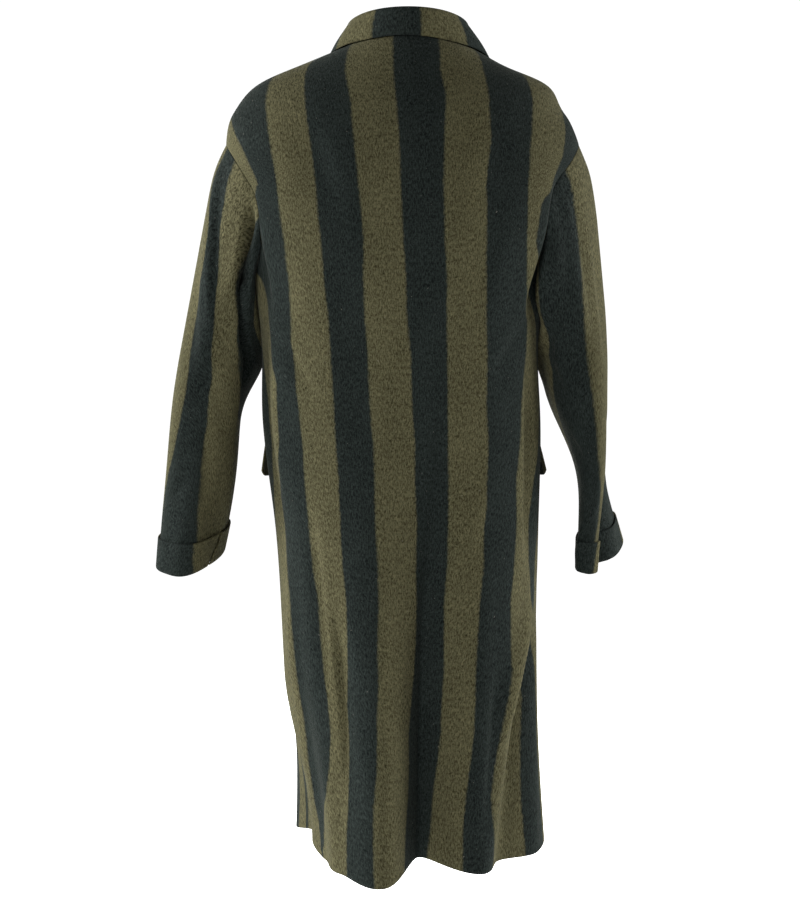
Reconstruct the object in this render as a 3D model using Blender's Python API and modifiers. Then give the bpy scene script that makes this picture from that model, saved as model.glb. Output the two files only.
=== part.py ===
"""Long striped wool coat, hollow as it hangs when worn, in metres with +Z up.

The front faces -Y and the wearer's left is +X. The origin is the middle of the neck opening, level
with the two points where the shoulder seams meet the neck. Every cloth piece is a wall of one
thickness on a surface that is worked out from the section, fold, sleeve and collar tables below.
"""

import math
from collections import namedtuple
from functools import lru_cache

import bmesh
import bpy
import numpy as np
from mathutils import Matrix, Vector

# Cloth and sewing
CLOTH = 0.0024          # thickness of the brushed wool coating
SEAM = 0.0003           # gap between two sewn edges
UNDERLAP = 0.0038       # how far the under front lies inside the over front
OVERLAP = 0.030         # each front runs this far past the centre front line
OVERLAP_EASE = 14.0     # degrees over which the under front comes back out

# Mesh density
ROWS_TO_ARMHOLE = (1, 1, 1, 2, 2)
ROWS_BELOW_ARMHOLE = (2, 2, 2, 3, 3)
ARMHOLE_STEPS = 9
BACK_COLUMNS = 40
FRONT_COLUMNS = 18
CAP_ROWS = 6
SLEEVE_ROWS = 9

# Body sections, neck to hem. side, back and front are the drops below the origin at the side,
# centre back and centre front. left and right are half widths, depth_back and depth_front the
# reach behind and in front of the origin, and square is the exponent of the rounded outline.
Section = namedtuple("Section", "side back front left right depth_back depth_front square")
BODY = (
    Section(0.002, 0.000, 0.070, 0.077, 0.077, 0.078, 0.076, 2.0),    # neck seam
    Section(0.016, 0.030, 0.095, 0.118, 0.110, 0.097, 0.097, 2.0),    # collar edge
    Section(0.035, 0.075, 0.135, 0.165, 0.146, 0.122, 0.116, 2.1),    # mid shoulder
    Section(0.059, 0.118, 0.175, 0.213, 0.197, 0.141, 0.128, 2.2),    # shoulder
    Section(0.091, 0.165, 0.217, 0.239, 0.217, 0.154, 0.134, 2.3),    # shoulder round
    Section(0.136, 0.222, 0.262, 0.251, 0.236, 0.162, 0.137, 2.4),    # top of the armhole
    Section(0.255, 0.300, 0.322, 0.240, 0.226, 0.165, 0.139, 2.5),    # middle of the armhole
    Section(0.384, 0.386, 0.388, 0.205, 0.183, 0.161, 0.140, 2.6),    # underarm
    Section(0.510, 0.510, 0.510, 0.201, 0.182, 0.152, 0.136, 2.6),    # waist
    Section(0.655, 0.655, 0.655, 0.184, 0.180, 0.152, 0.140, 2.5),    # hip
    Section(0.800, 0.801, 0.800, 0.174, 0.178, 0.160, 0.146, 2.3),    # thigh
    Section(0.950, 0.953, 0.950, 0.168, 0.180, 0.171, 0.152, 2.1),    # knee
    Section(1.100, 1.105, 1.100, 0.167, 0.189, 0.183, 0.160, 2.0),    # hem
)
ARM_TOP = 5
ARM_END = 7
HEM = len(BODY) - 1

# Folds of the skirt. Angles run from the wearer's left side (0) over the back (90) to the right
# side (180) and the front (270). push is outward and rise upward where the fold is full, and start
# and full are drops.
Fold = namedtuple("Fold", "angle_start angle_hem before after push rise start full")
FOLDS = (
    Fold(82.0, 77.0, 20.0, 14.0, 0.016, -0.006, 0.55, 1.10),      # near ridge of the back
    Fold(97.0, 96.0, 15.0, 26.0, -0.060, 0.012, 0.42, 1.12),      # deep trough beside it
    Fold(168.0, 137.0, 17.0, 19.0, -0.027, 0.0, 0.70, 1.04),      # slanting trough, right back
    Fold(4.0, 12.0, 33.0, 30.0, -0.035, 0.014, 0.86, 1.10),       # hollow of the left side
    Fold(28.0, 40.0, 22.0, 18.0, -0.024, 0.0, 0.80, 1.08),        # left back trough
    Fold(232.0, 229.0, 16.0, 16.0, -0.026, 0.0, 0.60, 1.10),      # right front trough
    Fold(300.0, 309.0, 17.0, 17.0, -0.024, 0.0, 0.62, 1.10),      # left front trough
)

# Armholes
ARM_BACK = 41.0         # degrees that the armhole cuts into the back
ARM_FRONT = 36.0        # and into the front
ARM_SKEW = 0.74         # below 1 puts the widest point above the middle
ARM_ROUND = 0.92        # below 1 rounds the two ends

# Sleeve stations, top to bottom. out is the half width away from the body and deep the half width
# front to back. turn swings the section about Z, tilt lifts the front of the opening, and twist is
# how many armhole steps the seams have swung round the arm.
Station = namedtuple("Station", "x y drop out deep turn tilt twist")
LEFT_SLEEVE = (
    Station(0.2645, 0.000, 0.440, 0.0510, 0.078, 0.0, 0.0, 0.0),
    Station(0.2785, -0.004, 0.497, 0.0430, 0.074, 6.0, 5.0, 1.6),
    Station(0.2860, -0.014, 0.575, 0.0395, 0.067, 16.0, 11.0, 2.8),
    Station(0.2965, -0.028, 0.650, 0.0365, 0.059, 25.0, 16.0, 3.1),
    Station(0.3075, -0.042, 0.712, 0.0315, 0.053, 32.0, 23.0, 2.9),
)
RIGHT_SLEEVE = (
    Station(-0.2310, 0.000, 0.440, 0.0430, 0.078, 0.0, 0.0, 0.0),
    Station(-0.2365, -0.002, 0.495, 0.0370, 0.078, 0.0, 4.0, 0.0),
    Station(-0.2545, -0.012, 0.570, 0.0215, 0.078, 4.0, 10.0, 0.0),
    Station(-0.2665, -0.028, 0.640, 0.0175, 0.070, 16.0, 15.0, 0.0),
    Station(-0.2775, -0.045, 0.708, 0.0170, 0.064, 30.0, 21.0, 0.0),
)
CAP_BULGE = 0.0115      # fullness of the sleeve head
HIND_SEAM = 6           # armhole step where the back sleeve seam starts
CUFF_HEIGHT = 0.040
CUFF_ROWS = 2
CUFF_OUT = 1.15 * (CLOTH + SEAM + 0.0002)
CUFF_SLIT = 0.005       # opening of the cuff at the back sleeve seam

# Collar, along the neck from the left front end to the right front end. reach is the body section
# that the turned-down edge lies on.
CollarCut = namedtuple("CollarCut", "angle stand reach")
COLLAR = (
    CollarCut(-80.0, 0.020, 1.80),
    CollarCut(-45.0, 0.024, 1.36),
    CollarCut(0.0, 0.026, 0.78),
    CollarCut(45.0, 0.026, 0.52),
    CollarCut(90.0, 0.025, 0.34),
    CollarCut(135.0, 0.026, 0.64),
    CollarCut(180.0, 0.026, 1.10),
    CollarCut(225.0, 0.024, 1.45),
    CollarCut(260.0, 0.020, 1.80),
)
COLLAR_COLUMNS = 30
COLLAR_ROWS = 8
COLLAR_ROLL = 0.0045    # radius of the fold along the top
COLLAR_LIFT = 0.0045    # height of the turned-down edge over the coat

# Pocket flaps, on each front below the hip
FLAP_TOP = 0.548
FLAP_HEIGHT = 0.047
FLAP_CORNER = 0.007     # how much the two lower corners are rounded off
FLAP_REAR = 4.0         # degrees in front of the side seam
FLAP_WIDTH = 42.0       # degrees round the body
FLAP_COLUMNS = 8
FLAP_ROWS = 3
FLAP_STAND_OFF = 0.011  # how far the free edge stands out

# Buttons on the over front
BUTTON_DROPS = (0.174, 0.316, 0.458, 0.600)
BUTTON_RADIUS = 0.014
BUTTON_HEIGHT = 0.0045
BUTTON_RIM = 0.0032
BUTTON_DISH = 0.0012
BUTTON_SIDES = 20

# Colours, as linear values
OLIVE_WOOL = (0.072, 0.056, 0.026)
DARK_WOOL = (0.013, 0.018, 0.020)
HORN = (0.030, 0.022, 0.015)


@lru_cache(maxsize=None)
def bends(rows):
    """The rows of a table as numbers, and how a smooth curve through them bends at each row."""
    table = np.array(rows)
    inner = len(rows) - 2
    weights = 4.0 * np.eye(inner) + np.eye(inner, k=1) + np.eye(inner, k=-1)
    bend = np.zeros_like(table)
    bend[1:-1] = np.linalg.solve(weights, 6.0 * (table[2:] - 2.0 * table[1:-1] + table[:-2]))
    return table, bend


@lru_cache(maxsize=None)
def spline(rows, place):
    """A row of a table at a place between rows, on a smooth curve through all of them."""
    table, bend = bends(rows)
    step = min(max(int(place), 0), len(rows) - 2)
    to_next = place - step
    to_this = 1.0 - to_next
    values = to_this * table[step] + to_next * table[step + 1]
    values += (to_this ** 3 - to_this) * bend[step] / 6.0
    values += (to_next ** 3 - to_next) * bend[step + 1] / 6.0
    return type(rows[0])(*values.tolist())


def ease(value):
    """A soft step from 0 to 1."""
    part = min(max(value, 0.0), 1.0)
    return part * part * (3.0 - 2.0 * part)


def fold_shift(angle, drop):
    """How far all folds together move the cloth out and up, at an angle in degrees and a drop."""
    push, rise = 0.0, 0.0
    for fold in FOLDS:
        grown = ease((drop - fold.start) / (fold.full - fold.start))
        if grown == 0.0:
            continue
        run = (drop - fold.start) / (BODY[HEM].side - fold.start)
        middle = fold.angle_start + (fold.angle_hem - fold.angle_start) * min(run, 1.0)
        away = (angle - middle + 180.0) % 360.0 - 180.0
        share = abs(away) / (fold.before if away < 0 else fold.after)
        if share < 1.0:
            grown *= 0.5 * (1.0 + math.cos(math.pi * share))
            push += fold.push * grown
            rise += fold.rise * grown
    return push, rise


def power(value, exponent):
    return math.copysign(abs(value) ** exponent, value)


def body_point(angle, place):
    """The middle of the cloth at an angle in degrees round the body and a place down the sections."""
    cut = spline(BODY, place)
    across = math.cos(math.radians(angle))
    along = math.sin(math.radians(angle))
    shape = 2.0 / cut.square
    x = (cut.left if across > 0 else cut.right) * power(across, shape)
    y = (cut.depth_back if along > 0 else cut.depth_front) * power(along, shape)
    middle_drop = cut.back if along > 0 else cut.front
    drop = cut.side + (middle_drop - cut.side) * along * along
    flat = Vector((x, y, 0.0))
    push, rise = fold_shift(angle, drop)
    return flat + flat.normalized() * push - Vector((0.0, 0.0, drop - rise))


def body_normal(angle, place):
    """The outward direction of the body surface."""
    turn = body_point(angle + 0.5, place) - body_point(angle - 0.5, place)
    down = body_point(angle, min(place + 0.02, HEM)) - body_point(angle, max(place - 0.02, 0.0))
    normal = down.cross(turn)
    return normal.normalized()


def place_at_drop(angle, drop):
    """The place down the sections where the body surface has a given drop."""
    low, high = 0.0, float(HEM)
    for _ in range(40):
        middle = 0.5 * (low + high)
        if -body_point(angle, middle).z < drop:
            low = middle
        else:
            high = middle
    return 0.5 * (low + high)


def arm_cut(place, most):
    """Degrees that the armhole takes from a panel at a place down the sections."""
    share = (place - ARM_TOP) / (ARM_END - ARM_TOP)
    if not 0.0 < share < 1.0:
        return 0.0
    return most * math.sin(math.pi * share ** ARM_SKEW) ** ARM_ROUND


def arm_place(step):
    """The place down the sections of an armhole step, closer together at its two ends."""
    share = 0.5 * (1.0 - math.cos(math.pi * step / ARMHOLE_STEPS))
    return ARM_TOP + (ARM_END - ARM_TOP) * share


def body_places():
    """The places of all rows of the body panels, neck to hem."""
    places = []
    for section, rows in enumerate(ROWS_TO_ARMHOLE):
        places += [section + k / rows for k in range(rows)]
    places += [arm_place(step) for step in range(ARMHOLE_STEPS)]
    for section, rows in enumerate(ROWS_BELOW_ARMHOLE, ARM_END):
        places += [section + k / rows for k in range(rows)]
    return places + [float(HEM)]


def even_shares(first, last, columns):
    """Column shares of an angle range that are evenly spaced along the cloth at the hem."""
    fine = 360
    angles = [first + (last - first) * k / fine for k in range(fine + 1)]
    points = [body_point(angle, HEM) for angle in angles]
    lengths = [0.0]
    for a, b in zip(points, points[1:]):
        lengths.append(lengths[-1] + (b - a).length)
    shares, k = [], 0
    for column in range(columns + 1):
        wanted = lengths[-1] * column / columns
        while k < fine and lengths[k + 1] < wanted:
            k += 1
        part = (wanted - lengths[k]) / (lengths[k + 1] - lengths[k]) if k < fine else 0.0
        shares.append((k + part) / fine)
    return shares


def set_back(beyond, edge, inside):
    """A seam edge moved into its own panel, so that two walls meeting at an angle stay clear."""
    inward = (inside - edge).normalized()
    bend = math.pi - inward.angle(beyond - edge)
    return edge + inward * (0.6 * SEAM + 0.5 * CLOTH * math.tan(0.5 * bend))


def trimmed(row):
    """A row of points cut back at both seams. Its first and last points are the next panels'."""
    inner = row[1:-1]
    inner[0] = set_back(row[0], row[1], row[2])
    inner[-1] = set_back(row[-1], row[-2], row[-3])
    return inner


def beyond_ends(angles):
    """Angles with one more at each end, as far past the end as the first one inside it."""
    return [2 * angles[0] - angles[1], *angles, 2 * angles[-1] - angles[-2]]


def cloth(name, rows, material, closed=False):
    """A named wall of cloth on rows of points. A closed piece joins its last column to its first."""
    columns = len(rows[0]) - 1
    shape = bmesh.new()
    bmesh.ops.create_grid(shape, x_segments=columns, y_segments=len(rows) - 1, size=0.5)
    for vertex in shape.verts:
        column = round((vertex.co.x + 0.5) * columns)
        row = round((vertex.co.y + 0.5) * (len(rows) - 1))
        vertex.co = rows[row][column]
    if closed:
        bmesh.ops.remove_doubles(shape, verts=shape.verts, dist=1e-6)
    mesh = bpy.data.meshes.new(name)
    shape.to_mesh(mesh)
    shape.free()
    mesh.shade_smooth()
    piece = add_piece(name, mesh, material)
    wall = piece.modifiers.new("Wall", "SOLIDIFY")
    wall.thickness = CLOTH
    wall.offset = 0.0
    wall.use_even_offset = True
    return piece


def add_piece(name, mesh, material):
    piece = bpy.data.objects.new(name, mesh)
    mesh.materials.append(material)
    coat.objects.link(piece)
    return piece


def wool(name, colour):
    material = bpy.data.materials.new(name)
    material.use_nodes = True
    shader = material.node_tree.nodes["Principled BSDF"]
    shader.inputs["Base Color"].default_value = (*colour, 1.0)
    shader.inputs["Roughness"].default_value = 0.92
    shader.inputs["Metallic"].default_value = 0.0
    return material


def make_back(material):
    shares = even_shares(0.0, 180.0, BACK_COLUMNS)
    rows = []
    for place in body_places():
        cut = arm_cut(place, ARM_BACK)
        angles = []
        for share in shares:
            near = min(share, 1.0 - share)
            moved = cut * (1.0 - 2.0 * near) ** 2
            angles.append(180.0 * share + math.copysign(moved, 0.5 - share))
        rows.append(trimmed([body_point(angle, place) for angle in beyond_ends(angles)]))
    cloth("back", rows, material)


def overlap_angle(place):
    """Degrees that a front runs past the centre front line."""
    return math.degrees(OVERLAP / abs(body_point(270.0, place).y))


def front_point(angle, place, under):
    """A point of a front. The under front is set in where the other front covers it."""
    point = body_point(angle, place)
    if not under:
        return point
    reach = overlap_angle(place) + OVERLAP_EASE
    inside = ease((reach - abs(angle - 270.0)) / OVERLAP_EASE)
    return point - body_normal(angle, place) * UNDERLAP * inside


def make_front(name, side_angle, under, material):
    """A front from its side seam to its edge past the centre front, which is at 270 degrees."""
    inward = math.copysign(1.0, 270.0 - side_angle)
    shares = even_shares(side_angle, 270.0, FRONT_COLUMNS)
    rows = []
    for place in body_places():
        cut = arm_cut(place, ARM_FRONT)
        span = 90.0 + overlap_angle(place)
        angles = [side_angle + inward * (span * share + cut * (1.0 - share) ** 2) for share in shares]
        points = [front_point(angle, place, under) for angle in beyond_ends(angles)]
        rows.append(trimmed(points))
    cloth(name, rows, material)


def armhole_point(step, side):
    """The body's armhole edge. Steps run down the back to the underarm and up the front again."""
    lap = 2 * ARMHOLE_STEPS
    step %= lap
    if step <= ARMHOLE_STEPS:
        place = arm_place(step)
        angle = arm_cut(place, ARM_BACK)
    else:
        place = arm_place(lap - step)
        angle = -arm_cut(place, ARM_FRONT)
    angle = angle if side > 0 else 180.0 - angle
    return body_point(angle, place), body_normal(angle, place)


def ring_point(station, step, side):
    """A point of a sleeve ring. Step 0 is the outer side, and the back comes next."""
    round_angle = math.pi * (step + station.twist) / ARMHOLE_STEPS
    swing = math.radians(station.turn)
    outward = Vector((math.cos(swing), -math.sin(swing), 0.0)) * side
    backward = Vector((math.sin(swing), math.cos(swing), 0.0))
    offset = outward * station.out * math.cos(round_angle)
    offset += backward * station.deep * math.sin(round_angle)
    offset.z = -offset.y * math.tan(math.radians(station.tilt))
    return Vector((station.x, station.y, -station.drop)) + offset


def sleeve_start(step, side, stations):
    """Where the sleeve's own edge begins: off the armhole by a mitre that clears both walls."""
    edge, normal = armhole_point(step, side)
    ahead, _ = armhole_point(step + 0.1, side)
    behind, _ = armhole_point(step - 0.1, side)
    into_hole = (ahead - behind).cross(normal).normalized() * side
    along = (ring_point(stations[0], step, side) - edge).normalized()
    tangent = (ahead - behind).normalized()
    across = along - tangent * along.dot(tangent)
    bend = into_hole.angle(across)
    outside = ease((bend - math.radians(80.0)) / math.radians(50.0))
    mitre = 2.0 * SEAM + 0.5 * CLOTH * math.tan(0.5 * min(bend, math.radians(125.0)))
    return edge + along * (mitre / across.length) + normal * (CLOTH + SEAM) * outside


def sleeve_place(row, stations):
    """The place down the stations of a sleeve row. The cuff takes the last rows."""
    last = len(stations) - 1
    low, high = 0.0, float(last)
    for _ in range(40):
        middle = 0.5 * (low + high)
        if spline(stations, middle).drop < stations[last].drop - CUFF_HEIGHT:
            low = middle
        else:
            high = middle
    above = SLEEVE_ROWS - CUFF_ROWS
    if row <= above:
        return low * row / above
    return low + (last - low) * (row - above) / CUFF_ROWS


def sleeve_row(row, side, stations, steps):
    """One ring of a sleeve, over the given armhole steps."""
    if row >= CAP_ROWS:
        station = spline(stations, sleeve_place(row - CAP_ROWS, stations))
        return [ring_point(station, step, side) for step in steps]
    share = row / CAP_ROWS
    points = []
    for step in steps:
        start = sleeve_start(step, side, stations)
        end = ring_point(stations[0], step, side)
        outer = max(0.0, math.cos(math.pi * step / ARMHOLE_STEPS))
        full = ease(share / 0.10) * (1.0 - share)
        bulge = Vector((side * CAP_BULGE * outer * full, 0.0, 0.0))
        points.append(start.lerp(end, share) + bulge)
    return points


def make_sleeve(name, side, stations, material):
    lap = 2 * ARMHOLE_STEPS
    spans = {
        "upper": range(-HIND_SEAM - 1, HIND_SEAM + 2),
        "under": range(HIND_SEAM - 1, lap - HIND_SEAM + 2),
    }
    for part, steps in spans.items():
        rows = []
        for row in range(CAP_ROWS + SLEEVE_ROWS + 1):
            rows.append(trimmed(sleeve_row(row, side, stations, steps)))
        cloth(f"sleeve_{part}_{name}", rows, material)


def cuff_point(station, step, side):
    """A point of a cuff ring: a sleeve ring point moved out, square to the sleeve."""
    round_angle = math.pi * (step + station.twist) / ARMHOLE_STEPS
    swing = math.radians(station.turn)
    outward = Vector((math.cos(swing), -math.sin(swing), 0.0)) * side
    backward = Vector((math.sin(swing), math.cos(swing), 0.0))
    away = outward * station.deep * math.cos(round_angle)
    away += backward * station.out * math.sin(round_angle)
    return ring_point(station, step, side) + away.normalized() * CUFF_OUT


def make_cuff(name, side, stations, material):
    """The turned-up end of a sleeve, slit at the back sleeve seam."""
    lap = 2 * ARMHOLE_STEPS
    rows = []
    for row in range(SLEEVE_ROWS - CUFF_ROWS, SLEEVE_ROWS + 1):
        station = spline(stations, sleeve_place(row, stations))
        ring = [cuff_point(station, step, side) for step in range(HIND_SEAM, HIND_SEAM + lap + 1)]
        ring[0] = ring[0] + (ring[1] - ring[0]).normalized() * CUFF_SLIT / 2
        ring[-1] = ring[-1] + (ring[-2] - ring[-1]).normalized() * CUFF_SLIT / 2
        rows.append(ring)
    cloth(f"cuff_{name}", rows, material)


def collar_profile(angle, cut):
    """Points across the collar: up the stand, over the roll and down the fall to its edge."""
    seam = body_point(angle, 0.0)
    outward = Vector((seam.x, seam.y, 0.0)).normalized()
    along = (body_point(angle + 1.0, 0.0) - body_point(angle - 1.0, 0.0)).normalized()
    up = Vector((0.0, 0.0, 1.0))
    up = (up - along * up.dot(along)).normalized()
    foot = seam + up * (CLOTH / 2 + 2 * SEAM)
    top = foot + up * cut.stand
    edge = body_point(angle, cut.reach) + body_normal(angle, cut.reach) * COLLAR_LIFT
    crest = top + outward * COLLAR_ROLL + up * COLLAR_ROLL
    over = top + outward * 2.0 * COLLAR_ROLL
    middle = over.lerp(edge, 0.5) + outward * 0.002
    return [
        foot,
        foot.lerp(top, 0.5) - outward * 0.001,
        top,
        top.lerp(crest, 0.5) + (up - outward) * 0.2 * COLLAR_ROLL,
        crest,
        crest.lerp(over, 0.5) + (up + outward) * 0.2 * COLLAR_ROLL,
        over,
        middle,
        edge,
    ]


def make_collar(material):
    columns = []
    for column in range(COLLAR_COLUMNS + 1):
        cut = spline(COLLAR, column / COLLAR_COLUMNS * (len(COLLAR) - 1))
        columns.append(collar_profile(cut.angle, cut))
    rows = [[points[row] for points in columns] for row in range(COLLAR_ROWS + 1)]
    cloth("collar", rows, material)


def make_flap(name, side_angle, material):
    """A pocket flap: sewn flat along its top, standing off the coat along its free edges."""
    inward = math.copysign(1.0, 270.0 - side_angle)
    rows = []
    for row in range(FLAP_ROWS + 1):
        share = row / FLAP_ROWS
        points = []
        for column in range(FLAP_COLUMNS + 1):
            across = column / FLAP_COLUMNS
            angle = side_angle + inward * (FLAP_REAR + FLAP_WIDTH * across)
            corner = max(0.0, 1.0 - min(across, 1.0 - across) / 0.12)
            height = FLAP_HEIGHT - FLAP_CORNER * corner * corner
            place = place_at_drop(angle, FLAP_TOP + height * share)
            rear = 1.0 - 0.6 * ease(across / 0.5)
            lift = CLOTH + SEAM + 0.0003 + FLAP_STAND_OFF * share * rear
            points.append(body_point(angle, place) + body_normal(angle, place) * lift)
        rows.append(points)
    cloth(f"flap_{name}", rows, material)


def make_button(name, drop, material):
    """A turned button with a raised rim, seated on the over front at the centre front line."""
    profile = (
        (0.0, BUTTON_HEIGHT - BUTTON_DISH),
        (BUTTON_RADIUS - BUTTON_RIM, BUTTON_HEIGHT - BUTTON_DISH),
        (BUTTON_RADIUS - 0.6 * BUTTON_RIM, BUTTON_HEIGHT),
        (BUTTON_RADIUS - 0.2 * BUTTON_RIM, BUTTON_HEIGHT),
        (BUTTON_RADIUS, 0.6 * BUTTON_HEIGHT),
        (0.85 * BUTTON_RADIUS, 0.0),
        (0.0, 0.0),
    )
    shape = bmesh.new()
    verts = [shape.verts.new((radius, 0.0, height)) for radius, height in profile]
    for a, b in zip(verts, verts[1:]):
        shape.edges.new((a, b))
    bmesh.ops.spin(
        shape,
        geom=shape.verts[:] + shape.edges[:],
        cent=(0.0, 0.0, 0.0),
        axis=(0.0, 0.0, 1.0),
        angle=2.0 * math.pi,
        steps=BUTTON_SIDES,
        use_merge=True,
    )
    bmesh.ops.remove_doubles(shape, verts=shape.verts, dist=1e-6)
    bmesh.ops.recalc_face_normals(shape, faces=shape.faces)
    mesh = bpy.data.meshes.new(name)
    shape.to_mesh(mesh)
    shape.free()
    mesh.shade_smooth()
    button = add_piece(name, mesh, material)
    place = place_at_drop(270.0, drop)
    normal = body_normal(270.0, place)
    seat = body_point(270.0, place) + normal * (CLOTH / 2 + SEAM + 0.0002)
    turn = normal.to_track_quat("Z", "Y").to_matrix().to_4x4()
    button.matrix_world = Matrix.Translation(seat) @ turn


def main():
    olive = wool("olive wool", OLIVE_WOOL)
    dark = wool("dark wool", DARK_WOOL)
    horn = wool("horn", HORN)
    make_back(olive)
    make_front("front_left", 360.0, True, olive)
    make_front("front_right", 180.0, False, olive)
    make_sleeve("left", 1.0, LEFT_SLEEVE, olive)
    make_sleeve("right", -1.0, RIGHT_SLEEVE, olive)
    make_cuff("left", 1.0, LEFT_SLEEVE, dark)
    make_cuff("right", -1.0, RIGHT_SLEEVE, dark)
    make_collar(dark)
    make_flap("left", 360.0, dark)
    make_flap("right", 180.0, dark)
    for number, drop in enumerate(BUTTON_DROPS, 1):
        make_button(f"button_{number}", drop, horn)


for old in list(bpy.data.objects):
    bpy.data.objects.remove(old)
coat = bpy.data.collections.new("wool coat")
bpy.context.scene.collection.children.link(coat)
main()
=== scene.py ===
# %% [markdown]
# # A striped wool coat, seen from behind
# The coat is one layer of thick brushed wool, sewn from a back, two fronts, two-piece sleeves,
# cuffs, a collar and pocket flaps. It hangs filled out, with nobody inside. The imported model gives
# its place and size, and each piece below is made again as finer cloth on the same surface.

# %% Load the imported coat
import math
from collections import namedtuple

import bpy
import numpy as np
from mathutils import Matrix, Vector


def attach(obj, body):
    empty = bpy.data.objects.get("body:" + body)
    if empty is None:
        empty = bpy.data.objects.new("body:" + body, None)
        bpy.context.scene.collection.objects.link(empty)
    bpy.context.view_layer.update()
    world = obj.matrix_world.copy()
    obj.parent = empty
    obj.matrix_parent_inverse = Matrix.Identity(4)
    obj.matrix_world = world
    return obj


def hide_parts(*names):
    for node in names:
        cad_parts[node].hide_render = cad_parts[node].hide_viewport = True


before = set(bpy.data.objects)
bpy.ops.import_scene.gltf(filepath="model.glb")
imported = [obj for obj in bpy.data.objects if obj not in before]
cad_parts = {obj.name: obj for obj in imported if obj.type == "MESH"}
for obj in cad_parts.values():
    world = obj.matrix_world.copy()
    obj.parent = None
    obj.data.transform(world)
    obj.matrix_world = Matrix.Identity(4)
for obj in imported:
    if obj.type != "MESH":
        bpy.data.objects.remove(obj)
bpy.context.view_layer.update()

# %% [markdown]
# ## Camera
# The picture looks level at the middle of the back. How far off the camera stands is estimated from
# the outline: the collar edge bows up and the hem down about as much as a lens 1.8 m away shows.

# %% Place the camera
FOCAL_PIXELS = 1285.0
PICTURE_WIDTH = 800
SENSOR = 36.0
EYE = (0.011, 1.8, -0.57)

lens = bpy.data.cameras.new("photo_camera")
lens.sensor_fit = "HORIZONTAL"
lens.sensor_width = SENSOR
lens.lens = FOCAL_PIXELS * SENSOR / PICTURE_WIDTH
camera = bpy.data.objects.new("photo_camera", lens)
camera.location = EYE
camera.rotation_euler = (math.radians(90.0), 0.0, math.radians(180.0))
bpy.context.scene.collection.objects.link(camera)
bpy.context.scene.camera = camera
print("lens", round(lens.lens, 2), "mm")

# %% [markdown]
# ## Floor and light
# A white paper floor lies where a wearer would stand, 1.42 m below the neck, and runs on to a white
# background. The key lamp stands to the left of the camera and models the folds. Two lamps at the
# sides light the outer edges of the sleeves, one behind the coat lights its front, and a dim white
# sky fills the rest. Sky and paper look brighter to the camera than they light, so that the
# background stays white as in a studio.

# %% Lay the floor
FLOOR_DROP = 1.42
FLOOR_HALF = 40.0
PAPER_WHITE, PAPER_ROUGHNESS = (0.97, 0.97, 0.965), 0.9
PAPER_GLOW = 0.95       # only the camera sees it


def plain_material(name, colour, roughness):
    """A material of one colour and one roughness."""
    material = bpy.data.materials.new(name)
    material.use_nodes = True
    shader = material.node_tree.nodes["Principled BSDF"]
    shader.inputs["Base Color"].default_value = (*colour, 1.0)
    shader.inputs["Roughness"].default_value = roughness
    return material


paper = plain_material("white_paper", PAPER_WHITE, PAPER_ROUGHNESS)
seen = paper.node_tree.nodes.new("ShaderNodeLightPath").outputs["Is Camera Ray"]
glow = paper.node_tree.nodes["Principled BSDF"].inputs
paper.node_tree.links.new(seen, glow["Emission Color"])
glow["Emission Strength"].default_value = PAPER_GLOW
floor_mesh = bpy.data.meshes.new("pale_floor")
corners = ((-1, -1), (1, -1), (1, 1), (-1, 1))
points = [(FLOOR_HALF * x, FLOOR_HALF * y, -FLOOR_DROP) for x, y in corners]
floor_mesh.from_pydata(points, [], [(0, 1, 2, 3)])
floor_mesh.materials.append(paper)
floor = bpy.data.objects.new("pale_floor", floor_mesh)
bpy.context.scene.collection.objects.link(floor)
print("floor at", -FLOOR_DROP, "m")

# %% Hang the lamps
Lamp = namedtuple("Lamp", "name place target size power")
LAMPS = (
    Lamp("key_lamp", (1.5, 3.45, 0.3), (0.0, 0.1, -0.6), 1.2, 72.0),
    Lamp("left_rim_lamp", (3.3, -0.35, 0.4), (0.1, 0.0, -0.4), 1.6, 240.0),
    Lamp("right_rim_lamp", (-3.2, -0.5, 0.1), (-0.1, 0.0, -0.6), 1.8, 172.0),
    Lamp("front_lamp", (0.6, -3.0, 0.8), (0.0, 0.0, -0.5), 2.4, 90.0),
)


def aim(place, target):
    """A rotation that turns a lamp's -Z axis to its target."""
    return (Vector(target) - Vector(place)).to_track_quat("-Z", "Y").to_euler()


for lamp in LAMPS:
    data = bpy.data.lights.new(lamp.name, "AREA")
    data.shape = "DISK"
    data.size = lamp.size
    data.energy = lamp.power
    light = bpy.data.objects.new(lamp.name, data)
    light.location = lamp.place
    light.rotation_euler = aim(lamp.place, lamp.target)
    bpy.context.scene.collection.objects.link(light)
print("lamps:", len(LAMPS))

# %% A white sky
SKY_LIGHT = 0.11        # strength with which the sky lights the coat
SKY_SEEN = 1.05         # strength that the camera sees

sky = bpy.data.worlds.new("white_sky")
sky.use_nodes = True
tree = sky.node_tree
strength = tree.nodes.new("ShaderNodeMapRange")
strength.inputs["To Min"].default_value = SKY_LIGHT
strength.inputs["To Max"].default_value = SKY_SEEN
seen = tree.nodes.new("ShaderNodeLightPath").outputs["Is Camera Ray"]
tree.links.new(seen, strength.inputs["Value"])
tree.nodes["Background"].inputs["Color"].default_value = (1.0, 1.0, 1.0, 1.0)
tree.links.new(strength.outputs["Result"], tree.nodes["Background"].inputs["Strength"])
bpy.context.scene.world = sky
bpy.context.scene.view_settings.view_transform = "Standard"
print("sky:", sky.name)

# %% [markdown]
# ## The shape of the body
# A coat's body is a tube whose outline changes from the neck ring to the hem. Thirteen sections
# give that outline, and a smooth curve runs through them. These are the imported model's own numbers,
# so that the fine cloth lies exactly on it.

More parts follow.
